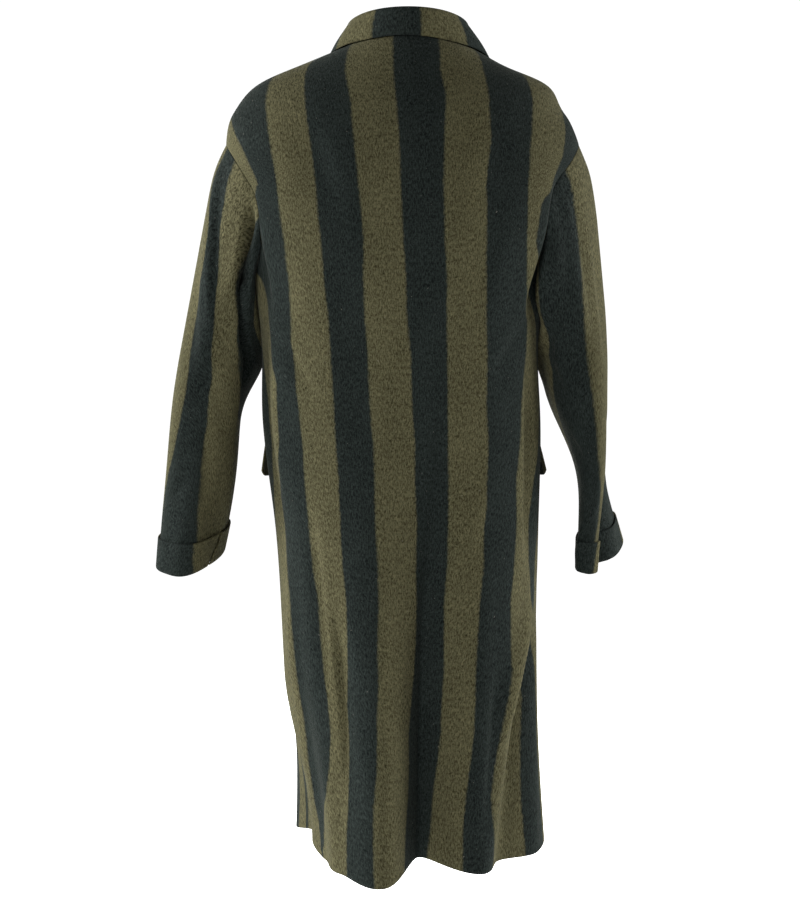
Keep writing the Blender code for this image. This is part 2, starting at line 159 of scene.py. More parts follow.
# %% Sections from neck to hem
CLOTH = 0.0024
SEAM = 0.0003
Section = namedtuple("Section", "side back front left right depth_back depth_front square")
BODY = np.array((
    Section(0.002, 0.000, 0.070, 0.077, 0.077, 0.078, 0.076, 2.0),    # neck seam
    Section(0.016, 0.030, 0.095, 0.118, 0.110, 0.097, 0.097, 2.0),    # collar edge
    Section(0.035, 0.075, 0.135, 0.165, 0.146, 0.122, 0.116, 2.1),    # mid shoulder
    Section(0.059, 0.118, 0.175, 0.213, 0.197, 0.141, 0.128, 2.2),    # shoulder
    Section(0.091, 0.165, 0.217, 0.239, 0.217, 0.154, 0.134, 2.3),    # shoulder round
    Section(0.136, 0.222, 0.262, 0.251, 0.236, 0.162, 0.137, 2.4),    # top of the armhole
    Section(0.255, 0.300, 0.322, 0.240, 0.226, 0.165, 0.139, 2.5),    # middle of the armhole
    Section(0.384, 0.386, 0.388, 0.205, 0.183, 0.161, 0.140, 2.6),    # underarm
    Section(0.510, 0.510, 0.510, 0.201, 0.182, 0.152, 0.136, 2.6),    # waist
    Section(0.655, 0.655, 0.655, 0.184, 0.180, 0.152, 0.140, 2.5),    # hip
    Section(0.800, 0.801, 0.800, 0.174, 0.178, 0.160, 0.146, 2.3),    # thigh
    Section(0.950, 0.953, 0.950, 0.168, 0.180, 0.171, 0.152, 2.1),    # knee
    Section(1.100, 1.105, 1.100, 0.167, 0.189, 0.183, 0.160, 2.0),    # hem
))
HEM = len(BODY) - 1


def spline(table, place):
    """Rows of a table at places between its rows, on a smooth curve through all of them."""
    inner = len(table) - 2
    weights = 4.0 * np.eye(inner) + np.eye(inner, k=1) + np.eye(inner, k=-1)
    bend = np.zeros_like(table)
    bend[1:-1] = np.linalg.solve(weights, 6.0 * (table[2:] - 2.0 * table[1:-1] + table[:-2]))
    place = np.asarray(place, float)
    step = np.clip(place.astype(int), 0, len(table) - 2)
    to_next = (place - step)[..., None]
    to_this = 1.0 - to_next
    values = to_this * table[step] + to_next * table[step + 1]
    values += (to_this ** 3 - to_this) * bend[step] / 6.0
    return values + (to_next ** 3 - to_next) * bend[step + 1] / 6.0


def ease(value):
    """A soft step from 0 to 1."""
    part = np.clip(value, 0.0, 1.0)
    return part * part * (3.0 - 2.0 * part)


print("waist half width", round(float(spline(BODY, 8.0)[3]), 3))

# %% [markdown]
# ## Folds and creases
# Heavy wool falls in a few long folds, deepest at the hem. Those are in the imported model too. Soft
# creases are added: drag lines from the armholes, hollows at the waist and small breaks
# above the hem. A cloth simulation would give creases of its own, but not these ones.

# %% Folds of the skirt
Fold = namedtuple("Fold", "angle_start angle_hem before after push rise start full")
FOLDS = (
    Fold(82.0, 77.0, 20.0, 14.0, 0.016, -0.006, 0.55, 1.10),      # near ridge of the back
    Fold(97.0, 96.0, 15.0, 26.0, -0.060, 0.012, 0.42, 1.12),      # deep trough beside it
    Fold(168.0, 137.0, 17.0, 19.0, -0.027, 0.0, 0.70, 1.04),      # slanting trough, right back
    Fold(4.0, 12.0, 33.0, 30.0, -0.035, 0.014, 0.86, 1.10),       # hollow of the left side
    Fold(28.0, 40.0, 22.0, 18.0, -0.024, 0.0, 0.80, 1.08),        # left back trough
    Fold(232.0, 229.0, 16.0, 16.0, -0.026, 0.0, 0.60, 1.10),      # right front trough
    Fold(300.0, 309.0, 17.0, 17.0, -0.024, 0.0, 0.62, 1.10),      # left front trough
)
HEM_DROP = BODY[HEM, 0]


def fold_shift(angle, drop):
    """How far all folds together move the cloth out and up."""
    push = np.zeros(np.broadcast(angle, drop).shape)
    rise = push
    for fold in FOLDS:
        run = np.minimum((drop - fold.start) / (HEM_DROP - fold.start), 1.0)
        middle = fold.angle_start + (fold.angle_hem - fold.angle_start) * run
        away = (angle - middle + 180.0) % 360.0 - 180.0
        share = np.minimum(np.abs(away) / np.where(away < 0, fold.before, fold.after), 1.0)
        grown = ease((drop - fold.start) / (fold.full - fold.start))
        grown = grown * 0.5 * (1.0 + np.cos(math.pi * share))
        push = push + fold.push * grown
        rise = rise + fold.rise * grown
    return push, rise


# %% Creases of the body
# A crease runs from its top to its low end. It has a width on each side, so that one side can be
# steep, and its push is out of the coat where it is positive.
ARC = 0.0030            # metres round the body for one degree, near enough to place a crease
CREASE_FADE = 0.35      # share of its length over which a crease fades in and out
Crease = namedtuple("Crease", "top_at top_drop low_at low_drop bow before after push")
BODY_CREASES = (
    Crease(33.0, 0.27, 36.0, 0.70, 0.000, 0.018, 0.050, 0.0045),     # edge of the left back corner
    Crease(20.0, 0.37, 25.0, 0.74, 0.000, 0.055, 0.020, -0.0110),    # hollow outside it
    Crease(29.0, 0.70, 27.0, 1.08, 0.000, 0.018, 0.030, 0.0060),     # rim of the left skirt fold
    Crease(59.0, 0.74, 63.0, 1.02, 0.004, 0.009, 0.030, -0.0055),    # break in the left back lobe
    Crease(50.0, 0.60, 54.0, 0.92, 0.004, 0.030, 0.014, -0.0040),    # soft line beside it
    Crease(118.0, 0.60, 103.0, 0.73, 0.003, 0.010, 0.024, 0.0045),   # slanting ridge over the trough
    Crease(100.0, 0.46, 97.0, 0.80, 0.000, 0.014, 0.034, -0.0060),   # head of the trough
    Crease(95.5, 0.66, 96.0, 1.14, 0.000, 0.012, 0.030, -0.0080),    # its steep left wall
    Crease(147.0, 0.42, 150.0, 0.74, -0.004, 0.018, 0.040, -0.0080), # right back, waist to hip
    Crease(164.0, 0.74, 127.0, 0.98, -0.010, 0.034, 0.009, 0.0085),  # rim of the right skirt fold
    Crease(171.0, 0.76, 136.0, 1.02, -0.010, 0.010, 0.045, -0.0130), # hollow outside it
    Crease(147.0, 0.17, 150.0, 0.41, 0.000, 0.034, 0.050, -0.0200),  # gully at the right armhole
    Crease(172.0, 0.05, 172.0, 0.15, 0.000, 0.110, 0.110, -0.0035),  # straight slope of the right shoulder
    Crease(38.0, 0.19, 33.0, 0.40, 0.000, 0.050, 0.016, -0.0070),    # gully at the left armhole
    Crease(70.0, 0.26, 76.0, 0.64, 0.006, 0.030, 0.044, -0.0036),    # long soft hollow left of the middle
    Crease(114.0, 0.20, 110.0, 0.54, -0.006, 0.046, 0.026, -0.0036), # and right of it
    Crease(34.0, 0.40, 62.0, 0.51, 0.006, 0.024, 0.014, -0.0036),    # drag line, left underarm
    Crease(146.0, 0.39, 120.0, 0.48, -0.006, 0.016, 0.028, -0.0036), # drag line, right underarm
    Crease(56.0, 0.12, 73.0, 0.26, 0.004, 0.040, 0.020, -0.0032),    # left shoulder blade
    Crease(126.0, 0.13, 109.0, 0.25, -0.004, 0.020, 0.040, -0.0030), # right shoulder blade
    Crease(128.0, 0.82, 121.0, 1.07, 0.004, 0.012, 0.030, -0.0045),  # right lobe above the hem
    Crease(108.0, 0.84, 112.0, 1.08, 0.003, 0.030, 0.014, -0.0030),  # middle lobe above the hem
    Crease(214.0, 0.40, 236.0, 0.49, 0.006, 0.030, 0.018, -0.0044),  # right front, underarm drag
    Crease(326.0, 0.40, 304.0, 0.50, -0.006, 0.018, 0.030, -0.0044), # left front, underarm drag
    Crease(246.0, 0.24, 251.0, 0.57, 0.005, 0.040, 0.026, -0.0040),  # right front, long hollow
    Crease(297.0, 0.26, 291.0, 0.60, -0.005, 0.026, 0.040, -0.0038), # left front, long hollow
    Crease(250.0, 0.72, 254.0, 1.04, 0.004, 0.014, 0.036, -0.0056),  # right front above the hem
    Crease(286.0, 0.70, 282.0, 1.02, -0.004, 0.034, 0.014, -0.0050), # left front above the hem
    Crease(192.0, 0.66, 200.0, 0.98, 0.006, 0.020, 0.040, -0.0070),  # right side below the flap
    Crease(338.0, 0.68, 332.0, 0.96, -0.006, 0.040, 0.020, -0.0070), # left side below the flap
)


def crease_push(creases, across_from, drop):
    """How far creases push the cloth. across_from(crease) is the distance from a crease's top."""
    push = 0.0
    for crease in creases:
        across, reach = across_from(crease)
        down = drop - crease.top_drop
        fall = crease.low_drop - crease.top_drop
        length = math.hypot(reach, fall)
        run = (across * reach + down * fall) / length ** 2
        off = (across * fall - down * reach) / length - crease.bow * 4.0 * run * (1.0 - run)
        away = off / np.where(off < 0, crease.before, crease.after)
        shape = np.cos(0.5 * math.pi * np.clip(away, -1.0, 1.0)) ** 2
        push = push + crease.push * shape * ease(run / CREASE_FADE) * ease((1.0 - run) / CREASE_FADE)
    return push


def body_creases(angle, drop):
    """How far the body's creases push the cloth at angles and drops."""
    def across_from(crease):
        away = (angle - crease.top_at + 180.0) % 360.0 - 180.0
        return away * ARC, (crease.low_at - crease.top_at) * ARC
    return crease_push(BODY_CREASES, across_from, drop)


print("folds:", len(FOLDS), "body creases:", len(BODY_CREASES))

# %% Points of the body surface
TURN_STEP, DOWN_STEP = 0.5, 0.02        # degrees and sections, for the surface's direction


def power(value, exponent):
    """A power that keeps its value's sign."""
    return np.sign(value) * np.abs(value) ** exponent


def body_points(angle, place, creased=True):
    """The middle of the cloth, at angles in degrees round the body and places down the sections."""
    angle, place = np.broadcast_arrays(np.asarray(angle, float), np.asarray(place, float))
    cut = Section(*np.moveaxis(spline(BODY, place), -1, 0))
    across = np.cos(np.radians(angle))
    along = np.sin(np.radians(angle))
    x = np.where(across > 0, cut.left, cut.right) * power(across, 2.0 / cut.square)
    y = np.where(along > 0, cut.depth_back, cut.depth_front) * power(along, 2.0 / cut.square)
    drop = cut.side + (np.where(along > 0, cut.back, cut.front) - cut.side) * along * along
    push, rise = fold_shift(angle, drop)
    if creased:
        push = push + body_creases(angle, drop)
    stretch = 1.0 + push / np.maximum(np.hypot(x, y), 1e-9)
    return np.stack([x * stretch, y * stretch, rise - drop], axis=-1)


def unit(vectors):
    """The same directions with length 1."""
    return vectors / np.maximum(np.linalg.norm(vectors, axis=-1, keepdims=True), 1e-12)


def body_normals(angle, place):
    """The outward directions of the body surface."""
    turn = body_points(angle + TURN_STEP, place) - body_points(angle - TURN_STEP, place)
    low = body_points(angle, np.minimum(place + DOWN_STEP, HEM))
    high = body_points(angle, np.maximum(place - DOWN_STEP, 0.0))
    return unit(np.cross(low - high, turn))


print("hem, middle of the back:", np.round(body_points(90.0, float(HEM)), 3).tolist())

# %% [markdown]
# ## Where the stripes run
# The stripes are woven in, so they follow the warp threads down each piece. For the body, a thread's
# place is its distance from the middle of the back, measured along a level line round the coat. A
# table says where the stripe edges lie on the real back. The fronts, which the photo doesn't show,
# have straight stripes of even width, counted from the middle of the front.
# In the gully by the right armhole the dark stripe is also laid over olive cloth that lies in shade there:
# painted shade.

# %% Distance round the coat
LEVELS = np.arange(0.0, 1.125, 0.006)
ANGLES = np.arange(-110.0, 290.5, 0.5)
FINE_PLACES = np.linspace(0.0, HEM, 700)


def level_lines():
    """The distance from the middle of the back and x, for every level and angle, without creases."""
    drops = -body_points(ANGLES[None, :], FINE_PLACES[:, None], creased=False)[..., 2]
    lines = np.empty((len(LEVELS), len(ANGLES), 2))
    for column, angle in enumerate(ANGLES):
        places = np.interp(LEVELS, drops[:, column], FINE_PLACES)
        lines[:, column] = body_points(angle, places, creased=False)[:, :2]
    steps = np.linalg.norm(np.diff(lines, axis=1), axis=2)
    distance = np.concatenate([np.zeros((len(LEVELS), 1)), np.cumsum(steps, axis=1)], axis=1)
    middle = int(np.argmin(np.abs(ANGLES - 90.0)))
    return distance - distance[:, middle:middle + 1], lines[..., 0]


DISTANCE, SIDEWAYS = level_lines()


def bilinear(table, row, column):
    """Values of a table at fractional rows and columns."""
    r = np.clip(row.astype(int), 0, table.shape[0] - 2)
    c = np.clip(column.astype(int), 0, table.shape[1] - 2)
    fr, fc = np.clip(row - r, 0.0, 1.0), np.clip(column - c, 0.0, 1.0)
    upper = table[r, c] * (1 - fc) + table[r, c + 1] * fc
    lower = table[r + 1, c] * (1 - fc) + table[r + 1, c + 1] * fc
    return upper * (1 - fr) + lower * fr


def body_across(angle, drop):
    """Distance from the middle of the back, in metres, positive to the wearer's right."""
    row = drop / (LEVELS[1] - LEVELS[0])
    return bilinear(DISTANCE, row, (angle - ANGLES[0]) / (ANGLES[1] - ANGLES[0]))


print("half way round the hem:", round(float(body_across(np.array(270.0), np.array(1.09))), 3), "m")

# %% Stripe edges on the back
STRIPE = 0.054          # usual width of one stripe
EDGE_DROPS = (
    0.06, 0.10, 0.16, 0.22, 0.29, 0.34, 0.39, 0.44, 0.50, 0.55, 0.60,
    0.66, 0.71, 0.76, 0.81, 0.85, 0.89, 0.93, 0.97, 1.01, 1.05, 1.09,
)
EDGE_PLACES = np.array((    # millimetres from the middle of the back, one column an edge
    (-194, -141, -84, -20, 42, 102, 166),
    (-195, -137, -76, -17, 49, 105, 170),
    (-184, -130, -70, -12, 46, 107, 163),
    (-174, -122, -64, -10, 45, 101, 158),
    (-164, -113, -57, -7, 46, 102, 158),
    (-160, -110, -58, -3, 49, 102, 163),
    (-159, -104, -57, -2, 49, 101, 176),
    (-158, -101, -53, 3, 50, 103, 172),
    (-148, -97, -51, 4, 51, 101, 159),
    (-142, -95, -46, 8, 53, 104, 155),
    (-140, -91, -44, 8, 54, 102, 148),
    (-138, -90, -44, 11, 54, 98, 151),
    (-137, -89, -42, 10, 54, 100, 149),
    (-132, -87, -44, 12, 51, 97, 145),
    (-134, -91, -49, 12, 53, 97, 150),
    (-133, -97, -51, 10, 56, 98, 153),
    (-130, -103, -56, 4, 56, 100, 146),
    (-131, -105, -60, -2, 57, 101, 140),
    (-138, -108, -64, -1, 53, 98, 136),
    (-150, -111, -71, -5, 47, 95, 131),
    (-186, -116, -73, -14, 45, 92, 134),
    (-196, -118, -73, -18, 38, 91, 142),
)) / 1000.0
SIDE_EDGES = {              # the edges beyond those, as drops and millimetres
    -5: (
        (0.03, -400), (0.10, -370), (0.20, -300), (0.30, -300), (0.36, -272), (0.44, -252),
        (0.50, -238), (0.55, -232), (0.60, -234), (0.655, -240), (0.71, -250), (0.80, -256),
        (0.87, -256), (0.93, -250), (0.98, -268), (1.03, -286), (1.10, -292),
    ),
    -4: (
        (0.03, -320), (0.10, -285), (0.115, -264), (0.163, -231), (0.205, -207), (0.214, -203),
        (0.232, -216), (0.26, -250), (0.31, -250), (0.331, -223), (0.361, -209), (0.442, -193),
        (0.47, -182), (0.55, -178), (0.60, -187), (0.655, -196), (0.71, -190), (0.76, -184),
        (0.812, -183), (0.92, -193), (0.975, -204), (1.03, -211), (1.054, -205), (1.10, -198),
    ),
    4: (
        # from drop 0.236 to 0.335 this edge is pulled in, so dark also covers shaded olive cloth in the
        # right armhole gully: painted shade
        (0.03, 290), (0.10, 237), (0.114, 230), (0.173, 215), (0.222, 194), (0.236, 179), (0.288, 171),
        (0.335, 190), (0.41, 208), (0.45, 220), (0.50, 218), (0.56, 208), (0.60, 197), (0.654, 189),
        (0.71, 186), (0.762, 196), (0.81, 212), (0.85, 219), (0.90, 222), (0.95, 220), (1.10, 216),
    ),
    5: (
        (0.03, 350), (0.10, 300), (0.25, 262), (0.36, 250), (0.41, 246), (0.45, 256), (0.50, 262),
        (0.56, 254), (0.60, 240), (0.655, 227), (0.69, 212), (0.71, 208), (0.74, 212), (0.77, 224),
        (0.81, 236), (0.85, 244), (0.90, 250), (0.95, 252), (1.04, 266), (1.10, 274),
    ),
}
FIRST_EDGE = -5         # dark lies between edges 0 and 1, 2 and 3, and so on


def stripe_numbers(across, edges, first):
    """The stripe number at each point. Edges have whole numbers, and stripes run on evenly beyond."""
    number = first + (across - edges[0]) / STRIPE
    for k, (near, far) in enumerate(zip(edges, edges[1:])):
        number = np.where(across >= near, first + k + (across - near) / (far - near), number)
    last = first + len(edges) - 1
    return np.where(across >= edges[-1], last + (across - edges[-1]) / STRIPE, number)


def body_stripes(across, drop):
    """The stripe number on the body: from an even number to the next one the cloth is dark."""
    inner = [np.interp(drop, EDGE_DROPS, line) for line in EDGE_PLACES.T]
    side = {}
    for number, line in SIDE_EDGES.items():
        drops, places = np.array(line).T
        side[number] = np.interp(drop, drops, places / 1000.0)
    return stripe_numbers(across, [side[-5], side[-4], *inner, side[4], side[5]], FIRST_EDGE)


print("stripe edges:", EDGE_PLACES.shape[1] + len(SIDE_EDGES))

# %% [markdown]
# ## Brushed wool
# The cloth is woven in olive and blue-black and then brushed, so its face is a short hairy nap with
# lighter and darker fibres lying down the coat. Two node groups make it: one says which stripe a
# point is in, with ragged edges, and one gives the fibres.

# %% Small helpers for node trees


def add(tree, kind, **settings):
    """A new shader node with some of its settings."""
    node = tree.nodes.new("ShaderNode" + kind)
    for name, value in settings.items():
        setattr(node, name, value)
    return node


def feed(tree, socket, value):
    """Links a socket to another, or sets its own value."""
    if isinstance(value, bpy.types.NodeSocket):
        tree.links.new(value, socket)
    else:
        socket.default_value = value


def calc(tree, operation, *values):
    """The result of a math node."""
    node = add(tree, "Math", operation=operation)
    for socket, value in zip(node.inputs, values):
        feed(tree, socket, value)
    return node.outputs[0]


def noise(tree, across, down, per_metre_across, per_metre_down, detail=2.0, roughness=0.5):
    """Noise in the cloth's own coordinates, so many waves a metre across and down."""
    place = add(tree, "CombineXYZ")
    feed(tree, place.inputs[0], calc(tree, "MULTIPLY", across, per_metre_across))
    feed(tree, place.inputs[1], calc(tree, "MULTIPLY", down, per_metre_down))
    node = add(tree, "TexNoise", noise_dimensions="2D")
    feed(tree, node.inputs["Vector"], place.outputs[0])
    node.inputs["Scale"].default_value = 1.0
    node.inputs["Detail"].default_value = detail
    node.inputs["Roughness"].default_value = roughness
    return node.outputs["Fac"]


def spread(tree, value, low, high, to_low=0.0, to_high=1.0):
    """Maps a range of values onto another, with soft ends."""
    node = add(tree, "MapRange", interpolation_type="SMOOTHSTEP")
    feed(tree, node.inputs["Value"], value)
    limits = {"From Min": low, "From Max": high, "To Min": to_low, "To Max": to_high}
    for name, number in limits.items():
        node.inputs[name].default_value = number
    return node.outputs["Result"]


def blend(tree, share, first, second):
    """A colour between two others."""
    node = add(tree, "Mix", data_type="RGBA")
    feed(tree, node.inputs["Factor"], share)
    feed(tree, node.inputs[6], first)
    feed(tree, node.inputs[7], second)
    return node.outputs[2]


def new_group(name, inputs, outputs):
    """An empty node group with number sockets, and the sockets on its inside."""
    tree = bpy.data.node_groups.new(name, "ShaderNodeTree")
    for sockets, way in ((inputs, "INPUT"), (outputs, "OUTPUT")):
        for socket in sockets:
            tree.interface.new_socket(socket, in_out=way, socket_type="NodeSocketFloat")
    return tree, tree.nodes.new("NodeGroupInput").outputs, tree.nodes.new("NodeGroupOutput").inputs


# %% Which stripe a point is in
# Whole stripe numbers are edges. An edge drifts a little down the cloth, and fibres make it ragged.
EDGE_DRIFT, EDGE_RAG, EDGE_SOFT = 0.03, 0.10, 0.12

stripe_group, given, result = new_group("woven stripes", ("Stripe", "Across", "Down"), ("Olive",))
drift = noise(stripe_group, given["Across"], given["Down"], 4.0, 26.0, 2.0)
ragged = noise(stripe_group, given["Across"], given["Down"], 420.0, 170.0, 3.0, 0.65)
moved = calc(stripe_group, "MULTIPLY_ADD", drift, EDGE_DRIFT, given["Stripe"])
moved = calc(stripe_group, "MULTIPLY_ADD", ragged, EDGE_RAG, moved)
moved = calc(stripe_group, "SUBTRACT", moved, 0.5 * (EDGE_DRIFT + EDGE_RAG))
wave = calc(stripe_group, "SINE", calc(stripe_group, "MULTIPLY", moved, math.pi))
feed(stripe_group, result["Olive"], spread(stripe_group, wave, EDGE_SOFT, -EDGE_SOFT))
print("group:", stripe_group.name)

# %% Fibres of the nap
# Long fibres lie down the coat, the weft shows through as short level marks, and slower noise gives
# the clouds of a worn cloth. Lint is a few pale specks.
fibre_group, given, result = new_group("brushed fibres", ("Across", "Down"), ("Tone", "Lint", "Height"))
across, down = given["Across"], given["Down"]
bend = calc(fibre_group, "SUBTRACT", noise(fibre_group, across, down, 55.0, 40.0, 2.0), 0.5)
bent = calc(fibre_group, "MULTIPLY_ADD", bend, 0.008, across)
hair = noise(fibre_group, bent, down, 820.0, 220.0, 3.0, 0.7)
tuft = noise(fibre_group, bent, down, 460.0, 150.0, 2.0, 0.6)
weft = noise(fibre_group, across, down, 150.0, 560.0, 2.0, 0.6)
cloud = noise(fibre_group, across, down, 26.0, 13.0, 3.0)
specks = noise(fibre_group, bent, down, 330.0, 210.0, 1.0)
tone = 0.0
layers = ((hair, 0.16, 0.52), (tuft, 0.16, 0.26), (weft, 0.18, 0.14), (cloud, 0.20, 0.08))
for layer, half_range, weight in layers:
    share = spread(fibre_group, layer, 0.5 - half_range, 0.5 + half_range)
    tone = calc(fibre_group, "MULTIPLY_ADD", share, weight, tone)
feed(fibre_group, result["Tone"], tone)
feed(fibre_group, result["Lint"], spread(fibre_group, specks, 0.835, 0.87))
feed(fibre_group, result["Height"], calc(fibre_group, "MULTIPLY_ADD", tuft, 0.8, hair))
print("group:", fibre_group.name)

# %% The wool material
OLIVE = ((0.0080, 0.0076, 0.0032), (0.118, 0.110, 0.059))      # darkest and lightest fibre
DARK = ((0.0006, 0.0016, 0.0015), (0.0255, 0.0325, 0.0295))
LINT, LINT_COVER = (0.20, 0.19, 0.16), 0.5
NAP_STRENGTH, NAP_DEPTH = 0.6, 0.0012
SHEEN, SHEEN_ROUGHNESS, SHEEN_TINT = 0.06, 0.3, (0.80, 0.84, 0.70)
GLOSS = 0.03


def wool(name):
    """Striped wool that reads its place in the cloth from the attribute called weave."""
    material = bpy.data.materials.new(name)
    material.use_nodes = True
    tree = material.node_tree
    shader = tree.nodes["Principled BSDF"]
    weave = add(tree, "Attribute", attribute_name="weave")
    parts = add(tree, "SeparateXYZ")
    feed(tree, parts.inputs[0], weave.outputs["Vector"])
    stripes = add(tree, "Group", node_tree=stripe_group)
    fibres = add(tree, "Group", node_tree=fibre_group)
    for name_in, value in zip(("Stripe", "Across", "Down"), parts.outputs):
        feed(tree, stripes.inputs[name_in], value)
        if name_in != "Stripe":
            feed(tree, fibres.inputs[name_in], value)
    tone = fibres.outputs["Tone"]
    dark = blend(tree, tone, (*DARK[0], 1.0), (*DARK[1], 1.0))
    olive = blend(tree, tone, (*OLIVE[0], 1.0), (*OLIVE[1], 1.0))
    colour = blend(tree, stripes.outputs["Olive"], dark, olive)
    lint = calc(tree, "MULTIPLY", fibres.outputs["Lint"], LINT_COVER)
    colour = blend(tree, lint, colour, (*LINT, 1.0))
    feed(tree, shader.inputs["Base Color"], colour)
    feed(tree, shader.inputs["Roughness"], spread(tree, tone, 0.0, 1.0, 1.0, 0.86))
    bump = add(tree, "Bump")
    bump.inputs["Strength"].default_value = NAP_STRENGTH
    bump.inputs["Distance"].default_value = NAP_DEPTH
    feed(tree, bump.inputs["Height"], fibres.outputs["Height"])
    feed(tree, shader.inputs["Normal"], bump.outputs[0])
    shader.inputs["Specular IOR Level"].default_value = GLOSS
    shader.inputs["Sheen Weight"].default_value = SHEEN
    shader.inputs["Sheen Roughness"].default_value = SHEEN_ROUGHNESS
    shader.inputs["Sheen Tint"].default_value = (*SHEEN_TINT, 1.0)
    return material


WOOL = wool("striped_wool")
print("material:", WOOL.name, "with", len(WOOL.node_tree.nodes), "nodes")

# %% [markdown]
# ## From a grid of points to cloth
# Every piece is cut as a grid of points in the middle of the cloth. The grid becomes a closed shell
# of real thickness, and the edges are rounded by thin extra rows, so that two sewn pieces meet in a
# fine groove, as a seam does. Each point keeps its stripe number and its place across and down.

# %% Grid helpers
HALF = CLOTH / 2
EDGE_STEPS = np.array((0.0, 0.08, 0.30, 0.62, 1.0)) * HALF
EDGE_LIMITS = np.linspace(0.0, 0.8, len(EDGE_STEPS))        # the most of a cell that the steps take


def grid_normals(grid):
    """Directions square to a grid of points: down the grid crossed with along it."""
    return unit(np.cross(np.gradient(grid, axis=0), np.gradient(grid, axis=1)))


def run_length(grid, axis):
    """Distance along the rows (axis 1) or columns (axis 0) of a grid, from its first point."""
    steps = np.linalg.norm(np.diff(grid, axis=axis), axis=2)
    start = np.zeros_like(np.take(steps, [0], axis=axis))
    return np.concatenate([start, np.cumsum(steps, axis=axis)], axis=axis)


def edged(stack):
    """Adds thin columns inside the first and last column of a grid, for a rounded edge."""
    for _ in range(2):
        first, second = stack[:, :1], stack[:, 1:2]
        gap = np.linalg.norm((second - first)[..., :3], axis=2, keepdims=True)
        share = np.minimum(EDGE_STEPS[None, :, None] / gap, EDGE_LIMITS[None, :, None])
        stack = np.concatenate([first + (second - first) * share, stack[:, 1:]], axis=1)[:, ::-1]
    return stack


def edge_profile(count):
    """Half thickness of the cloth, as a share, over a row that has rounded ends."""
    profile = np.ones(count)
    rounded = np.sqrt(1.0 - (1.0 - EDGE_STEPS / HALF) ** 2)
    profile[:len(rounded)] = rounded
    profile[-len(rounded):] = rounded[::-1]
    return profile


def shell_faces(rows, columns, flip):
    """Quads of the outer and inner face of a shell, whose edge points the two faces share."""
    outer = np.arange(rows * columns).reshape(rows, columns)
    inner = outer + rows * columns
    inner[[0, -1], :] = outer[[0, -1], :]
    inner[:, [0, -1]] = outer[:, [0, -1]]
    faces = []
    for index, turned in ((outer, flip), (inner, not flip)):
        quads = np.stack([index[:-1, :-1], index[1:, :-1], index[1:, 1:], index[:-1, 1:]], axis=-1)
        faces.append(quads.reshape(-1, 4)[:, ::-1] if turned else quads.reshape(-1, 4))
    return np.concatenate(faces)


def mesh_object(name, points, faces, material):
    """A smooth-shaded object from lists of points and faces."""
    mesh = bpy.data.meshes.new(name)
    mesh.from_pydata(points, [], faces)
    mesh.materials.append(material)
    mesh.shade_smooth()
    piece = bpy.data.objects.new(name, mesh)
    bpy.context.scene.collection.objects.link(piece)
    return piece


def cloth(name, node, grid, weave, flip=False):
    """A piece of wool that stands for a node. weave holds stripe number, across and down."""
    normals = grid_normals(grid) * (-1.0 if flip else 1.0)
    stack = np.concatenate([grid, normals, weave], axis=2)
    stack = edged(stack)
    stack = edged(stack.transpose(1, 0, 2)).transpose(1, 0, 2)
    rows, columns = stack.shape[:2]
    half = HALF * edge_profile(rows)[:, None] * edge_profile(columns)[None, :]
    shift = unit(stack[..., 3:6]) * half[..., None]
    points = np.concatenate([stack[..., :3] + shift, stack[..., :3] - shift]).reshape(-1, 3)
    faces = shell_faces(rows, columns, flip)
    used, index = np.unique(faces, return_inverse=True)
    piece = mesh_object(name, points[used].tolist(), index.reshape(-1, 4).tolist(), WOOL)
    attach(piece, "root")
    threads = np.tile(stack[..., 6:9].reshape(-1, 3), (2, 1))[used]
    attribute = piece.data.attributes.new("weave", "FLOAT_VECTOR", "POINT")
    attribute.data.foreach_set("vector", threads.ravel().astype(np.float32))
    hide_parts(node)
    print(name, "triangles", 2 * len(faces))


# %% [markdown]
# ## The back and the fronts
# The back is one piece from side seam to side seam, and each front runs from its side seam past the
# middle of the front, where the right one laps over the left. The armholes bite into all three.

# %% Rows and armholes
ARM_TOP, ARM_END = 5, 7
ARM_BACK, ARM_FRONT = 41.0, 36.0
ARM_SKEW, ARM_ROUND = 0.74, 0.92
ARM_STEPS = 9
ROWS_ABOVE = (6, 9, 9, 9, 11)
ROWS_AT_ARM = 42
ROWS_BELOW = (22, 26, 26, 28, 30)
HEM_SAMPLES = 721


def arm_cut(place, most):
    """Degrees that the armhole takes from a panel at places down the sections."""
    share = np.clip((np.asarray(place, float) - ARM_TOP) / (ARM_END - ARM_TOP), 0.0, 1.0)
    return most * np.maximum(np.sin(math.pi * share ** ARM_SKEW), 0.0) ** ARM_ROUND


def arm_place(step):
    """The place down the sections of an armhole step, closer together at its two ends."""
    turn = math.pi * np.asarray(step, float) / ARM_STEPS
    return ARM_TOP + (ARM_END - ARM_TOP) * 0.5 * (1.0 - np.cos(turn))


def body_rows():
    """Places down the sections of the rows of a body panel, close together at the armhole."""
    places = []
    for section, rows in enumerate(ROWS_ABOVE):
        places += [section + k / rows for k in range(rows)]
    places += arm_place(np.arange(ROWS_AT_ARM) * ARM_STEPS / ROWS_AT_ARM).tolist()
    for section, rows in enumerate(ROWS_BELOW, ARM_END):
        places += [section + k / rows for k in range(rows)]
    return np.array(places + [float(HEM)])


PLACES = body_rows()


def even_shares(first, last, columns):
    """Column shares of an angle range that are evenly spaced along the cloth at the hem."""
    shares = np.linspace(0.0, 1.0, HEM_SAMPLES)
    points = body_points(first + (last - first) * shares, float(HEM))
    length = np.concatenate([[0.0], np.cumsum(np.linalg.norm(np.diff(points, axis=0), axis=1))])
    return np.interp(np.linspace(0.0, length[-1], columns + 1), length, shares)


